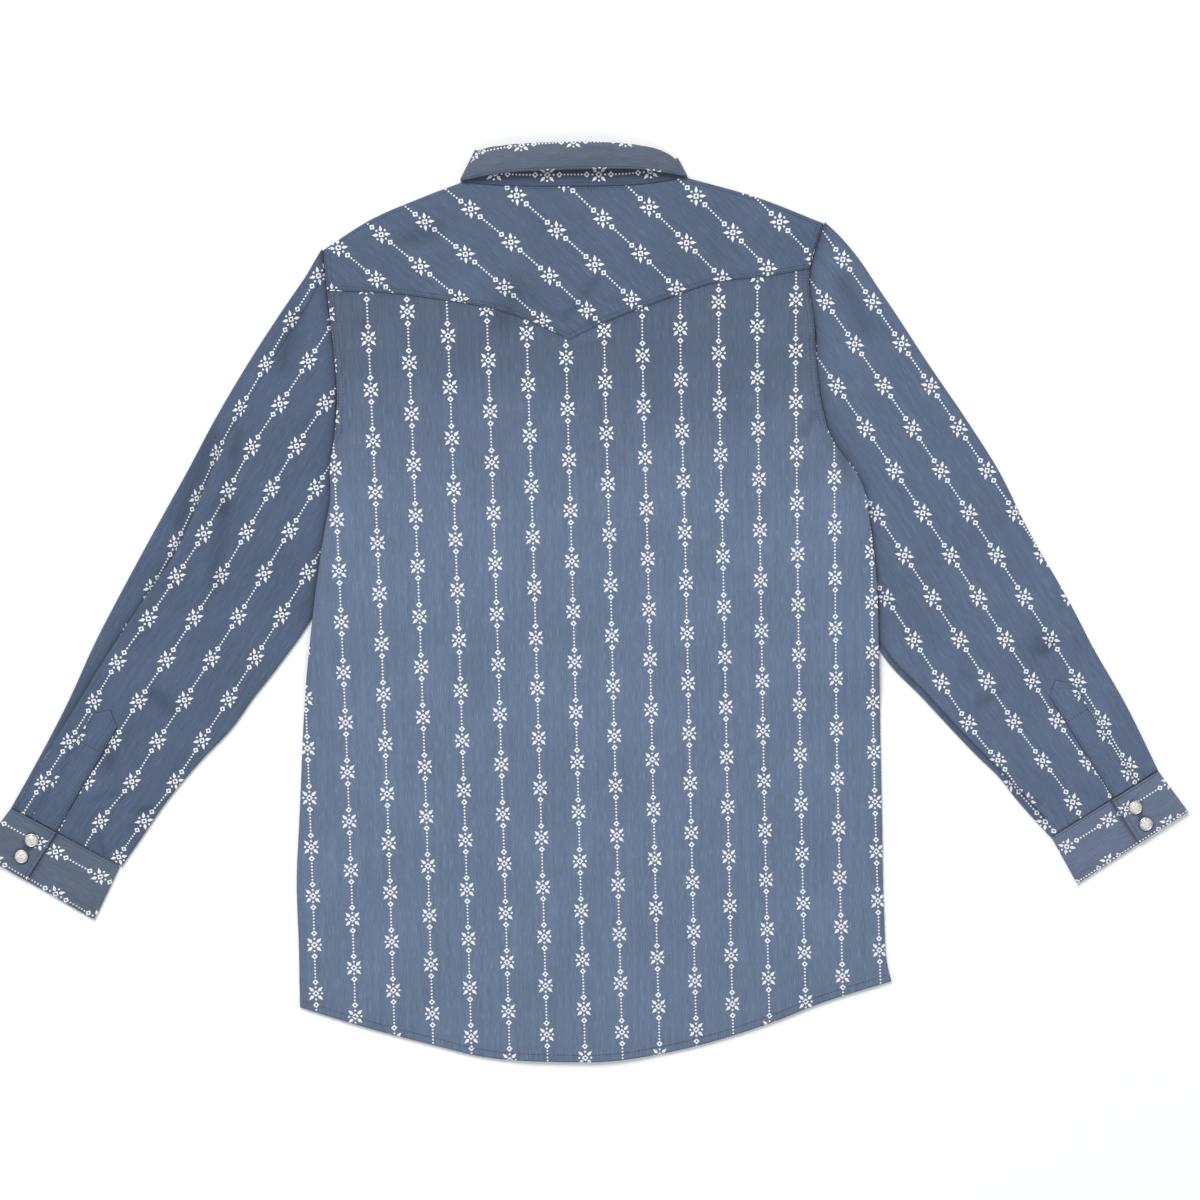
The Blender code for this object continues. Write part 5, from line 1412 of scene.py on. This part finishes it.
def noise(tree, vector, scale, detail=2.0, roughness=0.5):
    """Noise from 0 to 1 at a vector."""
    node = tree.nodes.new("ShaderNodeTexNoise")
    node.inputs["Scale"].default_value = scale
    node.inputs["Detail"].default_value = detail
    node.inputs["Roughness"].default_value = roughness
    tree.links.new(vector, node.inputs["Vector"])
    return node.outputs["Fac"]


def mixed(tree, factor, first, second):
    """A colour between two colours or results."""
    node = tree.nodes.new("ShaderNodeMix")
    node.data_type = "RGBA"
    for value, name, kind in ((factor, "Factor", "VALUE"), (first, "A", "RGBA"), (second, "B", "RGBA")):
        socket = next(s for s in node.inputs if s.name == name and s.type == kind)
        if isinstance(value, bpy.types.NodeSocket):
            tree.links.new(value, socket)
        else:
            socket.default_value = (*value, 1.0)
    return next(s for s in node.outputs if s.type == "RGBA")


def raise_bump(tree, shader, height, strength, distance):
    """Puts a bump on a shader: height from 0 to 1, distance in metres."""
    bump = tree.nodes.new("ShaderNodeBump")
    bump.inputs["Strength"].default_value = strength
    bump.inputs["Distance"].default_value = distance
    tree.links.new(height, bump.inputs["Height"])
    tree.links.new(bump.outputs[0], shader.inputs["Normal"])


def chambray(name, colour, ink, paler):
    """Printed chambray. Along the yarns (v) and across them (u), both in millimetres from the print's own
    coordinates, noise drawn out along v makes thin lone slubs and soft streaks and finer noise the heathered
    weave; down the cloth it is painted paler by the share paler, as painted light; the print lies on top, a
    little worn; painted shade darkens it near seams and in creases and overlaps ("dark"); yarns and gathers
    near seams raise a bump."""
    made, tree, shader = new_finish(name)
    sums = Sums(tree)
    uv = tree.nodes.new("ShaderNodeUVMap")
    uv.uv_map = "print"
    split = tree.nodes.new("ShaderNodeSeparateXYZ")
    tree.links.new(uv.outputs["UV"], split.inputs[0])
    u, v = split.outputs[0], split.outputs[1]
    across, run = sums("MULTIPLY", u, STRIPE_PITCH), sums("MULTIPLY", v, REPEAT)

    def yarns(across_scale, along_scale, detail, place):
        vector = tree.nodes.new("ShaderNodeCombineXYZ")
        tree.links.new(sums("MULTIPLY", across, across_scale), vector.inputs[0])
        tree.links.new(sums("MULTIPLY", run, along_scale), vector.inputs[1])
        vector.inputs[2].default_value = place
        return noise(tree, vector.outputs[0], 1.0, detail)

    weave = {part: yarns(*row[:4]) for part, row in YARNS.items()}
    slub, heather = weave["slub"], weave["heather"]
    strength = bpy.context.scene.shirt_cloth.slub
    lone = sums("MAXIMUM", sums("SUBTRACT", slub, LONE_SLUB_OVER), 0.0)
    shade = sums("MULTIPLY_ADD", lone, LONE_SLUB * strength, 1.0)
    for part, row in YARNS.items():
        shade = sums("MULTIPLY_ADD", sums("SUBTRACT", weave[part], 0.5), row[4] * strength, shade)
    # Painted light: the back is paler further down from the yoke
    painted_light_below = sums("MULTIPLY_ADD", sums("MULTIPLY", run, 1 / PAINTED_LIGHT_OVER, clamp=True), paler, 1 - 0.4 * paler)
    shade = sums("MULTIPLY", shade, painted_light_below)
    near, dark = (tree.nodes.new("ShaderNodeAttribute") for _ in range(2))
    near.attribute_name, dark.attribute_name = "near_seam", "dark"
    # Painted shade of the gathers at seams: the colour is darker near them
    shade = sums("MULTIPLY", shade, sums("MULTIPLY_ADD", near.outputs["Fac"], -NEAR_SEAM_PAINTED_SHADE, 1.0))
    dyed, shadow = (tree.nodes.new("ShaderNodeVectorMath") for _ in range(2))
    dyed.operation = shadow.operation = "SCALE"
    dyed.inputs[0].default_value = colour
    tree.links.new(shade, dyed.inputs["Scale"])
    worn = sums("MULTIPLY_ADD", heather, *PRINT_WORN, clamp=True)
    mask = sums("MULTIPLY", print_mask(sums, u, v), worn)
    tree.links.new(mixed(tree, mask, dyed.outputs[0], ink), shadow.inputs[0])
    # Painted shade: the "dark" attribute darkens the colour, print and all, in creases and overlaps
    tree.links.new(sums("MULTIPLY_ADD", dark.outputs["Fac"], -DEEPEST_PAINTED_SHADE, 1.0), shadow.inputs["Scale"])
    tree.links.new(shadow.outputs[0], shader.inputs["Base Color"])
    tree.links.new(sums("MULTIPLY_ADD", heather, *CLOTH_ROUGHNESS), shader.inputs["Roughness"])
    shader.inputs["Specular IOR Level"].default_value = 0.25
    shader.inputs["Sheen Weight"].default_value = 0.12
    shader.inputs["Sheen Roughness"].default_value = 0.5

    gathered = sums("MULTIPLY", sums("MULTIPLY", yarns(*GATHERS), near.outputs["Fac"]), GATHERED_BUMP)
    woven = sums("MULTIPLY_ADD", slub, 0.5, sums("MULTIPLY", heather, 0.8))
    raise_bump(tree, shader, sums("ADD", woven, gathered), 0.5, 0.00035)
    return made


def object_noise(tree, scale, detail=2.0, stretch=(1.0, 1.0, 1.0)):
    """Noise on an object's own coordinates."""
    place = tree.nodes.new("ShaderNodeTexCoord")
    mapping = tree.nodes.new("ShaderNodeMapping")
    mapping.inputs["Scale"].default_value = stretch
    tree.links.new(place.outputs["Object"], mapping.inputs["Vector"])
    return noise(tree, mapping.outputs[0], scale, detail)


def thread_finish(colour):
    """Twisted sewing thread: fine noise in its shade and a soft bump."""
    made, tree, shader = new_finish("sewing thread")
    sums = Sums(tree)
    grain = object_noise(tree, 2600.0)
    light = tuple(min(1.0, c * 2.2) for c in colour)
    tree.links.new(mixed(tree, grain, colour, light), shader.inputs["Base Color"])
    tree.links.new(sums("MULTIPLY_ADD", grain, 0.3, 0.55), shader.inputs["Roughness"])
    raise_bump(tree, shader, grain, 0.4, 0.0001)
    return made


def pearl_finish(colour):
    """Pearlised cap: cloudy swirls of lighter and darker nacre under a hard gloss."""
    made, tree, shader = new_finish("pearl cap")
    sums = Sums(tree)
    swirl = object_noise(tree, 420.0, 4.0, (1.0, 1.8, 1.0))
    cloudy = sums("MULTIPLY_ADD", sums("SUBTRACT", swirl, 0.5), 2.6, 0.5, clamp=True)
    light = tuple(min(1.0, c * 1.35) for c in colour)
    dark = tuple(c * 0.62 for c in colour)
    tree.links.new(mixed(tree, cloudy, dark, light), shader.inputs["Base Color"])
    tree.links.new(sums("MULTIPLY_ADD", cloudy, 0.12, 0.16), shader.inputs["Roughness"])
    shader.inputs["Coat Weight"].default_value = 0.6
    shader.inputs["Coat Roughness"].default_value = 0.08
    shader.inputs["Sheen Weight"].default_value = 0.1
    return made


def metal_finish(colour):
    """Rolled metal rim, brushed and a little tarnished."""
    made, tree, shader = new_finish("snap rim")
    sums = Sums(tree)
    tarnish = object_noise(tree, 700.0, 3.0)
    light = tuple(min(1.0, c * 1.5) for c in colour)
    dark = tuple(c * 0.55 for c in colour)
    tree.links.new(mixed(tree, tarnish, dark, light), shader.inputs["Base Color"])
    tree.links.new(sums("MULTIPLY_ADD", tarnish, 0.3, 0.2), shader.inputs["Roughness"])
    shader.inputs["Metallic"].default_value = 1.0
    return made


def floor_finish():
    """Matt pale table top."""
    made, tree, shader = new_finish("pale floor")
    grain = object_noise(tree, 60.0, 3.0)
    tree.links.new(mixed(tree, grain, (0.92, 0.92, 0.92), (0.95, 0.95, 0.95)), shader.inputs["Base Color"])
    shader.inputs["Roughness"].default_value = 0.95
    shader.inputs["Specular IOR Level"].default_value = 0.1
    return made


def finish_of(name, make, *colours):
    """A material by name, made once."""
    return bpy.data.materials.get(name) or make(*colours)


def cloth_finish(part):
    """The chambray of a part, by its colour's name in ShirtCloth."""
    cloth = bpy.context.scene.shirt_cloth
    name = f"chambray {part.replace('_', ' ')}"
    # Only the body gets the painted light that makes the back paler below
    paler = cloth.painted_light_below if part == "body" else 0.0
    return finish_of(name, chambray, name, tuple(getattr(cloth, part)), tuple(cloth.ink), paler)


# ---------------------------------------------------------------- operators

def near(distance, reach=6.0):
    """How near a seam is: 1 on it, less with the distance from it."""
    return np.exp(-np.abs(distance) / reach)


class SHIRT_OT_body(bpy.types.Operator):
    """Back, yoke, two fronts and the placket band"""

    bl_idname = "shirt.body"
    bl_label = "Body"

    def execute(self, context):
        grid = back_grid()
        x, y = grid[..., 0], grid[..., 1]
        seams = near(yoke_distance(x, y), 7.0) + near(hem_distance(x, y) - HEM_DEPTH)
        seams = np.clip(seams + near(side_distance(x, y)[0]), 0, 1)
        # Painted shadow under the yoke's edge, and painted shade in the folds' troughs
        dark = YOKE_SHADE * np.exp(-np.maximum(-yoke_distance(x, y), 0.0) / SEAM_SHADE_REACH)
        dark = np.maximum(dark, painted_fold_shade(x, y, BODY_FOLDS))
        back = shell("back", grid, print_at("body", grid[..., :2]), UP, cloth_finish("body"), ["back_panel"],
                     edge=seams, dark=dark)

        grid = yoke_grid()
        x, y = grid[..., 0], grid[..., 1]
        seams = np.clip(near(yoke_distance(x, y)) + near(side_distance(x, y)[0]), 0, 1)
        yoke = shell("yoke", grid, print_at("yoke", grid[..., :2]), UP, cloth_finish("yoke"), ["back_yoke"],
                     edge=seams, dark=painted_fold_shade(x, y, BODY_FOLDS))

        for side in ("left", "right"):
            grid = front_grid(side)
            seams = near(side_distance(grid[..., 0], grid[..., 1])[0])
            front = shell(f"front_{side}_cloth", grid, print_at("front", grid[..., :2]), DOWN,
                          cloth_finish("body"), [f"front_{side}"], edge=seams)

        grid = band_grid()
        band = shell("front_band", grid, print_at("front", grid[..., :2] + np.array(BAND_PRINT_SHIFT)), DOWN,
                     cloth_finish("body"), ["front_placket"], wall=0.8)
        return {"FINISHED"}


class SHIRT_OT_sleeves(bpy.types.Operator):
    """Sleeves, their plackets and the cuffs"""

    bl_idname = "shirt.sleeves"
    bl_label = "Sleeves"

    def execute(self, context):
        for side in ("left", "right"):
            ring, uv, dark = sleeve_ring(side)
            down = shares_of(ring[:, 0])[:, None] * SLEEVE_LENGTH
            seams = np.clip(near(down) + near(SLEEVE_LENGTH - down, 9.0), 0, 1)
            sleeve = shell(f"sleeve_{side}_cloth", ring, uv, DOWN, cloth_finish(f"sleeve_{side}"),
                           [f"sleeve_{side}"], closed=True, edge=seams, dark=dark)

            grid = placket_grid(side)
            # Painted shade along the placket's long edges and its head
            dark = np.zeros(grid.shape[:2])
            dark[:, (0, -2, -1)], dark[-1] = PLACKET_SHADE
            strip = shell(f"placket_{side}", grid, print_at(f"placket_{side}", grid[..., :2]), UP,
                          cloth_finish(f"sleeve_{side}"), [f"sleeve_placket_{side}"], dark=dark)

            grid, uv, dark = cuff_grid(CUFFS[side])
            cuff = shell(f"cuff_{side}_cloth", grid, uv, UP, cloth_finish(f"cuff_{side}"), [f"cuff_{side}"],
                         wall=0.9, dark=dark)
        return {"FINISHED"}


class SHIRT_OT_collar(bpy.types.Operator):
    """The collar's stand and fall"""

    bl_idname = "shirt.collar"
    bl_label = "Collar"

    def execute(self, context):
        grid = stand_grid()
        # Painted shadow of the fall on the stand, where the fall overhangs it
        to_fall = STAND_SHADE * near(grid[..., 1] - STAND_MEETS_FALL, STAND_SHADE_REACH)
        to_fall = to_fall * (grid[..., 2] > ON_BACK)
        stand = shell("stand", grid, collar_print(grid, STAND_PRINT, False), DOWN, cloth_finish("stand"),
                      ["collar_stand"], slot="collar_chambray", wall=0.8, dark=to_fall)
        grid = fall_grid()
        fall = shell("fall", grid, collar_print(grid, FALL_PRINT, True), DOWN, cloth_finish("collar"),
                     ["collar_fall"], slot="collar_chambray", wall=0.9)
        return {"FINISHED"}


def body_face(x, y):
    """Height of the yoke or of the back, whichever is there."""
    return np.where(yoke_distance(x, y) > 0, yoke_top(x, y), back_face(x, y))


def row_on(face, plan, from_side=0.0, sunk=0.0):
    """A row of stitches on a face at the places of a line that lie further than from_side from both sides."""
    plan = plan[side_distance(plan[:, 0], plan[:, 1])[0] > from_side]
    return with_height(plan, face(plan[:, 0], plan[:, 1]) - sunk), UP


def above_line(line, above):
    """A line moved up, square to itself."""
    return line + unit(np.gradient(line, axis=0))[:, ::-1] * np.array((-above, above))


def armhole_row(edge, inwards, foot, inset):
    """A row of stitches on the body, in from an armhole, down to y = foot."""
    plan = edge[edge[:, 1] > foot] + np.array((inwards * inset, 0.0))
    return row_on(body_face, plan[plan[:, 1] < np.max(edge[:, 1]) - 2])


def neck_row(below):
    """A row of stitches on the yoke, below the collar's seam."""
    line = dense_curve(NECK_BACK)
    plan = line[(line[:, 0] > NECK_ROW_FROM) & (line[:, 0] < NECK_ROW_TO)] - np.array((0.0, below))
    return row_on(yoke_top, plan, sunk=0.1)


def band_rows():
    """The two rows down the placket band, on its under side."""
    y = np.linspace(BAND_TOP - 2, BAND_BOTTOM + 2, 300)
    plans = [np.stack([np.full_like(y, x), y], 1) for x in (BAND_LEFT + BAND_ROW, BAND_RIGHT - BAND_ROW)]
    return [(with_height(plan, neck_lift(plan[:, 0], plan[:, 1]) + 0.25), DOWN) for plan in plans]


def placket_rows(side):
    """Two rows round a sleeve placket, and the straight row across it."""
    rows = []
    up = np.linspace(0.0, 1.0, ROW_STEPS)
    for inset in PLACKET_ROWS:
        head = HEAD_ROW - HEAD_ROW_LEAN * inset
        across_head = np.linspace(inset, 1 - inset, HEAD_STEPS)
        across = np.concatenate([np.full(ROW_STEPS, inset), across_head, np.full(ROW_STEPS, 1 - inset)])
        along_it = np.concatenate([up * head, np.full(HEAD_STEPS, head), up[::-1] * head])
        rows.append((on_sleeve(side, placket_plan(side, along_it, across), PLACKET_ROW_OVER), UP))
    across = np.linspace(0.1, 0.9, TACK_STEPS)
    point = PLACKET_POINT / PLACKET_LENGTH * (1 - np.abs(2 * across - 1))
    tack = placket_plan(side, TACK_SHARE / (1 + point), across)
    return [*rows, (on_sleeve(side, tack, PLACKET_OVER), UP)]


def cuff_rows(cuff):
    """Rows along a cuff's seam and its end, on the lap and past it, and one along the lap's free edge."""
    rows = []
    width, end_width = (np.linalg.norm(np.subtract(*cuff[edge])) for edge in ("seam", "end"))
    lap = cuff["lap"] * width
    steps = np.linspace(0.0, 1.0, ROW_STEPS)
    on_lap = ROW_INSET + (1.05 * lap - 2 * ROW_INSET) * steps
    past_lap = ROW_INSET + 1.07 * lap + (width - lap - 3 * ROW_INSET) * steps
    for share in (CUFF_ROW, 1 - CUFF_ROW):
        for distance in (on_lap, past_lap):
            rows.append((cuff_point(cuff, np.full(ROW_STEPS, share), distance), UP))
    inside = CUFF_ROW + (1 - 2 * CUFF_ROW) * steps
    widths = width + (end_width - width) * inside
    return [*rows, (cuff_point(cuff, inside, cuff["lap"] * widths - LAP_ROW), UP)]


def collar_rows():
    """Rows along the fall's free edge, on top and on its leaves below, and one on the stand."""
    grid = fall_grid()
    station = np.arange(3, len(grid) - 3, 0.25)
    row = on_grid(grid, station, np.full(len(station), FALL_ROW))
    facing = np.where(row[:, 2] > FALL_ROW_OVER, UP, DOWN)
    parts = np.split(row, np.flatnonzero(np.diff(facing)) + 1)
    leaves = [(part, DOWN) for part in parts if part[len(part) // 2, 2] < 1]
    grid = stand_grid()
    station = np.arange(0, len(grid) - 1, 0.25)
    low_row = on_grid(grid, station, np.full(len(station), STAND_ROW))
    return [(row[facing == UP], UP), *leaves, (low_row[low_row[:, 2] > STAND_ROW_OVER], UP)]


class SHIRT_OT_sewing(bpy.types.Operator):
    """All rows of stitches"""

    bl_idname = "shirt.sewing"
    bl_label = "Sewing"

    def execute(self, context):
        thread = finish_of("sewing thread", thread_finish, tuple(context.scene.shirt_sewing.thread))
        rows = [row_on(yoke_top, above_line(SEAM_LINE, above), from_side=2.0) for above in YOKE_ROWS]
        for shoulder in (SHOULDER_LEFT, SHOULDER_RIGHT):
            plan = dense_curve(shoulder) - np.array((0.0, SHOULDER_ROW))
            rows.append(row_on(yoke_top, plan, from_side=3.0, sunk=0.35))
        rows += [neck_row(below) for below in NECK_ROWS]
        stitches("yoke_stitches", rows, thread)

        rows = [row_on(back_face, above_line(HEM_LINE, HEM_ROW), from_side=2.0)]
        for inset in ARMHOLE_ROWS:
            rows.append(armhole_row(LEFT_EDGE, 1, ARMHOLE_FOOT_LEFT, inset))
            rows.append(armhole_row(RIGHT_EDGE, -1, ARMHOLE_FOOT_RIGHT, inset))
        stitches("body_stitches", rows, thread)

        stitches("band_stitches", band_rows(), thread)
        for side, cuff in CUFFS.items():
            stitches(f"sleeve_stitches_{side}", placket_rows(side) + cuff_rows(cuff), thread)
        stitches("collar_stitches", collar_rows(), thread)
        return {"FINISHED"}


# Sections of a cap and of a flush disc, from the middle out: radius, height, 0 for pearl or 1 for metal
SNAP_CAP = ((0, 2.3, 0), (0.9, 2.28, 0), (2.0, 2.16, 0), (3.1, 1.9, 0), (4.0, 1.55, 0), (4.6, 1.15, 0),
            (4.85, 0.9, 0), (4.95, 0.95, 1), (5.1, 1.3, 1), (5.35, 1.52, 1), (5.65, 1.5, 1), (5.95, 1.3, 1),
            (6.18, 0.95, 1), (6.25, 0.6, 1), (6.2, 0.25, 1), (6.0, 0.0, 1), (0, 0.0, 1))
SNAP_FLUSH = ((0, 0.0, 0), (2.0, 0.02, 0), (4.0, 0.05, 0), (4.8, 0.16, 0), (4.95, 0.2, 1), (5.2, 0.06, 1),
              (5.6, 0.02, 1), (6.0, 0.12, 1), (6.25, 0.4, 1), (6.1, 0.8, 1), (5.6, 0.95, 1), (0, 0.95, 1))


SNAP_SIDES = 40


class SHIRT_OT_snaps(bpy.types.Operator):
    """Pearl snaps on the cuffs and down the front"""

    bl_idname = "shirt.snaps"
    bl_label = "Snaps"

    def execute(self, context):
        sewing = context.scene.shirt_sewing
        finishes = [finish_of("pearl cap", pearl_finish, tuple(sewing.pearl)),
                    finish_of("snap rim", metal_finish, tuple(sewing.metal))]
        for side, cuff in CUFFS.items():
            for number, place in enumerate(snap_places(cuff), 1):
                snap = turned(f"snap_{side}_{number}", SNAP_CAP, SNAP_SIDES, place, finishes)
                dress(snap, "pearl", f"cuff_snap_{side}_{number}")
        flush = [(radius, -height, finish) for radius, height, finish in SNAP_FLUSH]
        for number in range(HIDDEN_SNAPS):
            place = hidden_snap_place(number)
            snap = turned(f"snap_front_{number + 1}", flush, SNAP_SIDES, place, finishes, DOWN)
            dress(snap, "pearl", f"front_snap_{number + 1}")
        return {"FINISHED"}


def area_light(name, place, size, power):
    """A square soft light at a place in millimetres, which points at the middle of the shirt."""
    data = bpy.data.lights.new(name, "AREA")
    data.shape = "SQUARE"
    data.size = size * MM
    data.energy = power
    made = bpy.data.objects.new(name, data)
    bpy.context.scene.collection.objects.link(made)
    made.location = Vector(place) * MM
    made.rotation_euler = (-Vector(place)).to_track_quat("-Z", "Y").to_euler()


class SHIRT_OT_stage(bpy.types.Operator):
    """Pale floor, soft light and the camera straight above"""

    bl_idname = "shirt.stage"
    bl_label = "Stage"

    def execute(self, context):
        scene = context.scene
        corners = [(x * FLOOR_HALF, y * FLOOR_HALF, FLOOR_Z) for x, y in ((-1, -1), (1, -1), (1, 1), (-1, 1))]
        floor = new_mesh("floor", corners, [(0, 1, 2, 3)], floor_finish(), smooth=False)

        world = bpy.data.worlds.new("studio")
        world.use_nodes = True
        background = world.node_tree.nodes["Background"]
        background.inputs["Color"].default_value = SKY
        background.inputs["Strength"].default_value = SKY_STRENGTH
        scene.world = world
        for light in LIGHTS:
            area_light(*light)

        camera = bpy.data.cameras.new("camera")
        camera.lens, camera.sensor_width = LENS, SENSOR
        height = VIEW_WIDTH * LENS / SENSOR
        camera.clip_start, camera.clip_end = 0.1, 50.0
        made = bpy.data.objects.new("camera", camera)
        scene.collection.objects.link(made)
        made.location = Vector((*VIEW_CENTRE, height)) * MM
        scene.camera = made
        scene.view_settings.view_transform = "Standard"
        return {"FINISHED"}


OPERATORS = (SHIRT_OT_stage, SHIRT_OT_body, SHIRT_OT_sleeves, SHIRT_OT_collar, SHIRT_OT_sewing,
             SHIRT_OT_snaps)


class SHIRT_PT_panel(bpy.types.Panel):
    """Colours, cloth and the steps that build the shirt"""

    bl_label = "Western snap shirt"
    bl_idname = "SHIRT_PT_panel"
    bl_space_type = "VIEW_3D"
    bl_region_type = "UI"
    bl_category = "Shirt"

    def draw(self, context):
        for group in (context.scene.shirt_cloth, context.scene.shirt_sewing):
            column = self.layout.column(align=True)
            for name in group.bl_rna.properties.keys():
                if name not in ("rna_type", "name"):
                    column.prop(group, name)
        for operator in OPERATORS:
            self.layout.operator(operator.bl_idname)


CLASSES = (ShirtCloth, ShirtSewing, *OPERATORS, SHIRT_PT_panel)


def register():
    for made in CLASSES:
        bpy.utils.register_class(made)
    bpy.types.Scene.shirt_cloth = PointerProperty(type=ShirtCloth)
    bpy.types.Scene.shirt_sewing = PointerProperty(type=ShirtSewing)


def unregister():
    del bpy.types.Scene.shirt_cloth
    del bpy.types.Scene.shirt_sewing
    for made in reversed(CLASSES):
        bpy.utils.unregister_class(made)


def main():
    register()
    bpy.ops.shirt.stage()
    bpy.ops.shirt.body()
    bpy.ops.shirt.sleeves()
    bpy.ops.shirt.collar()
    bpy.ops.shirt.sewing()
    bpy.ops.shirt.snaps()
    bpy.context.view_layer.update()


if __name__ == "__main__":
    main()
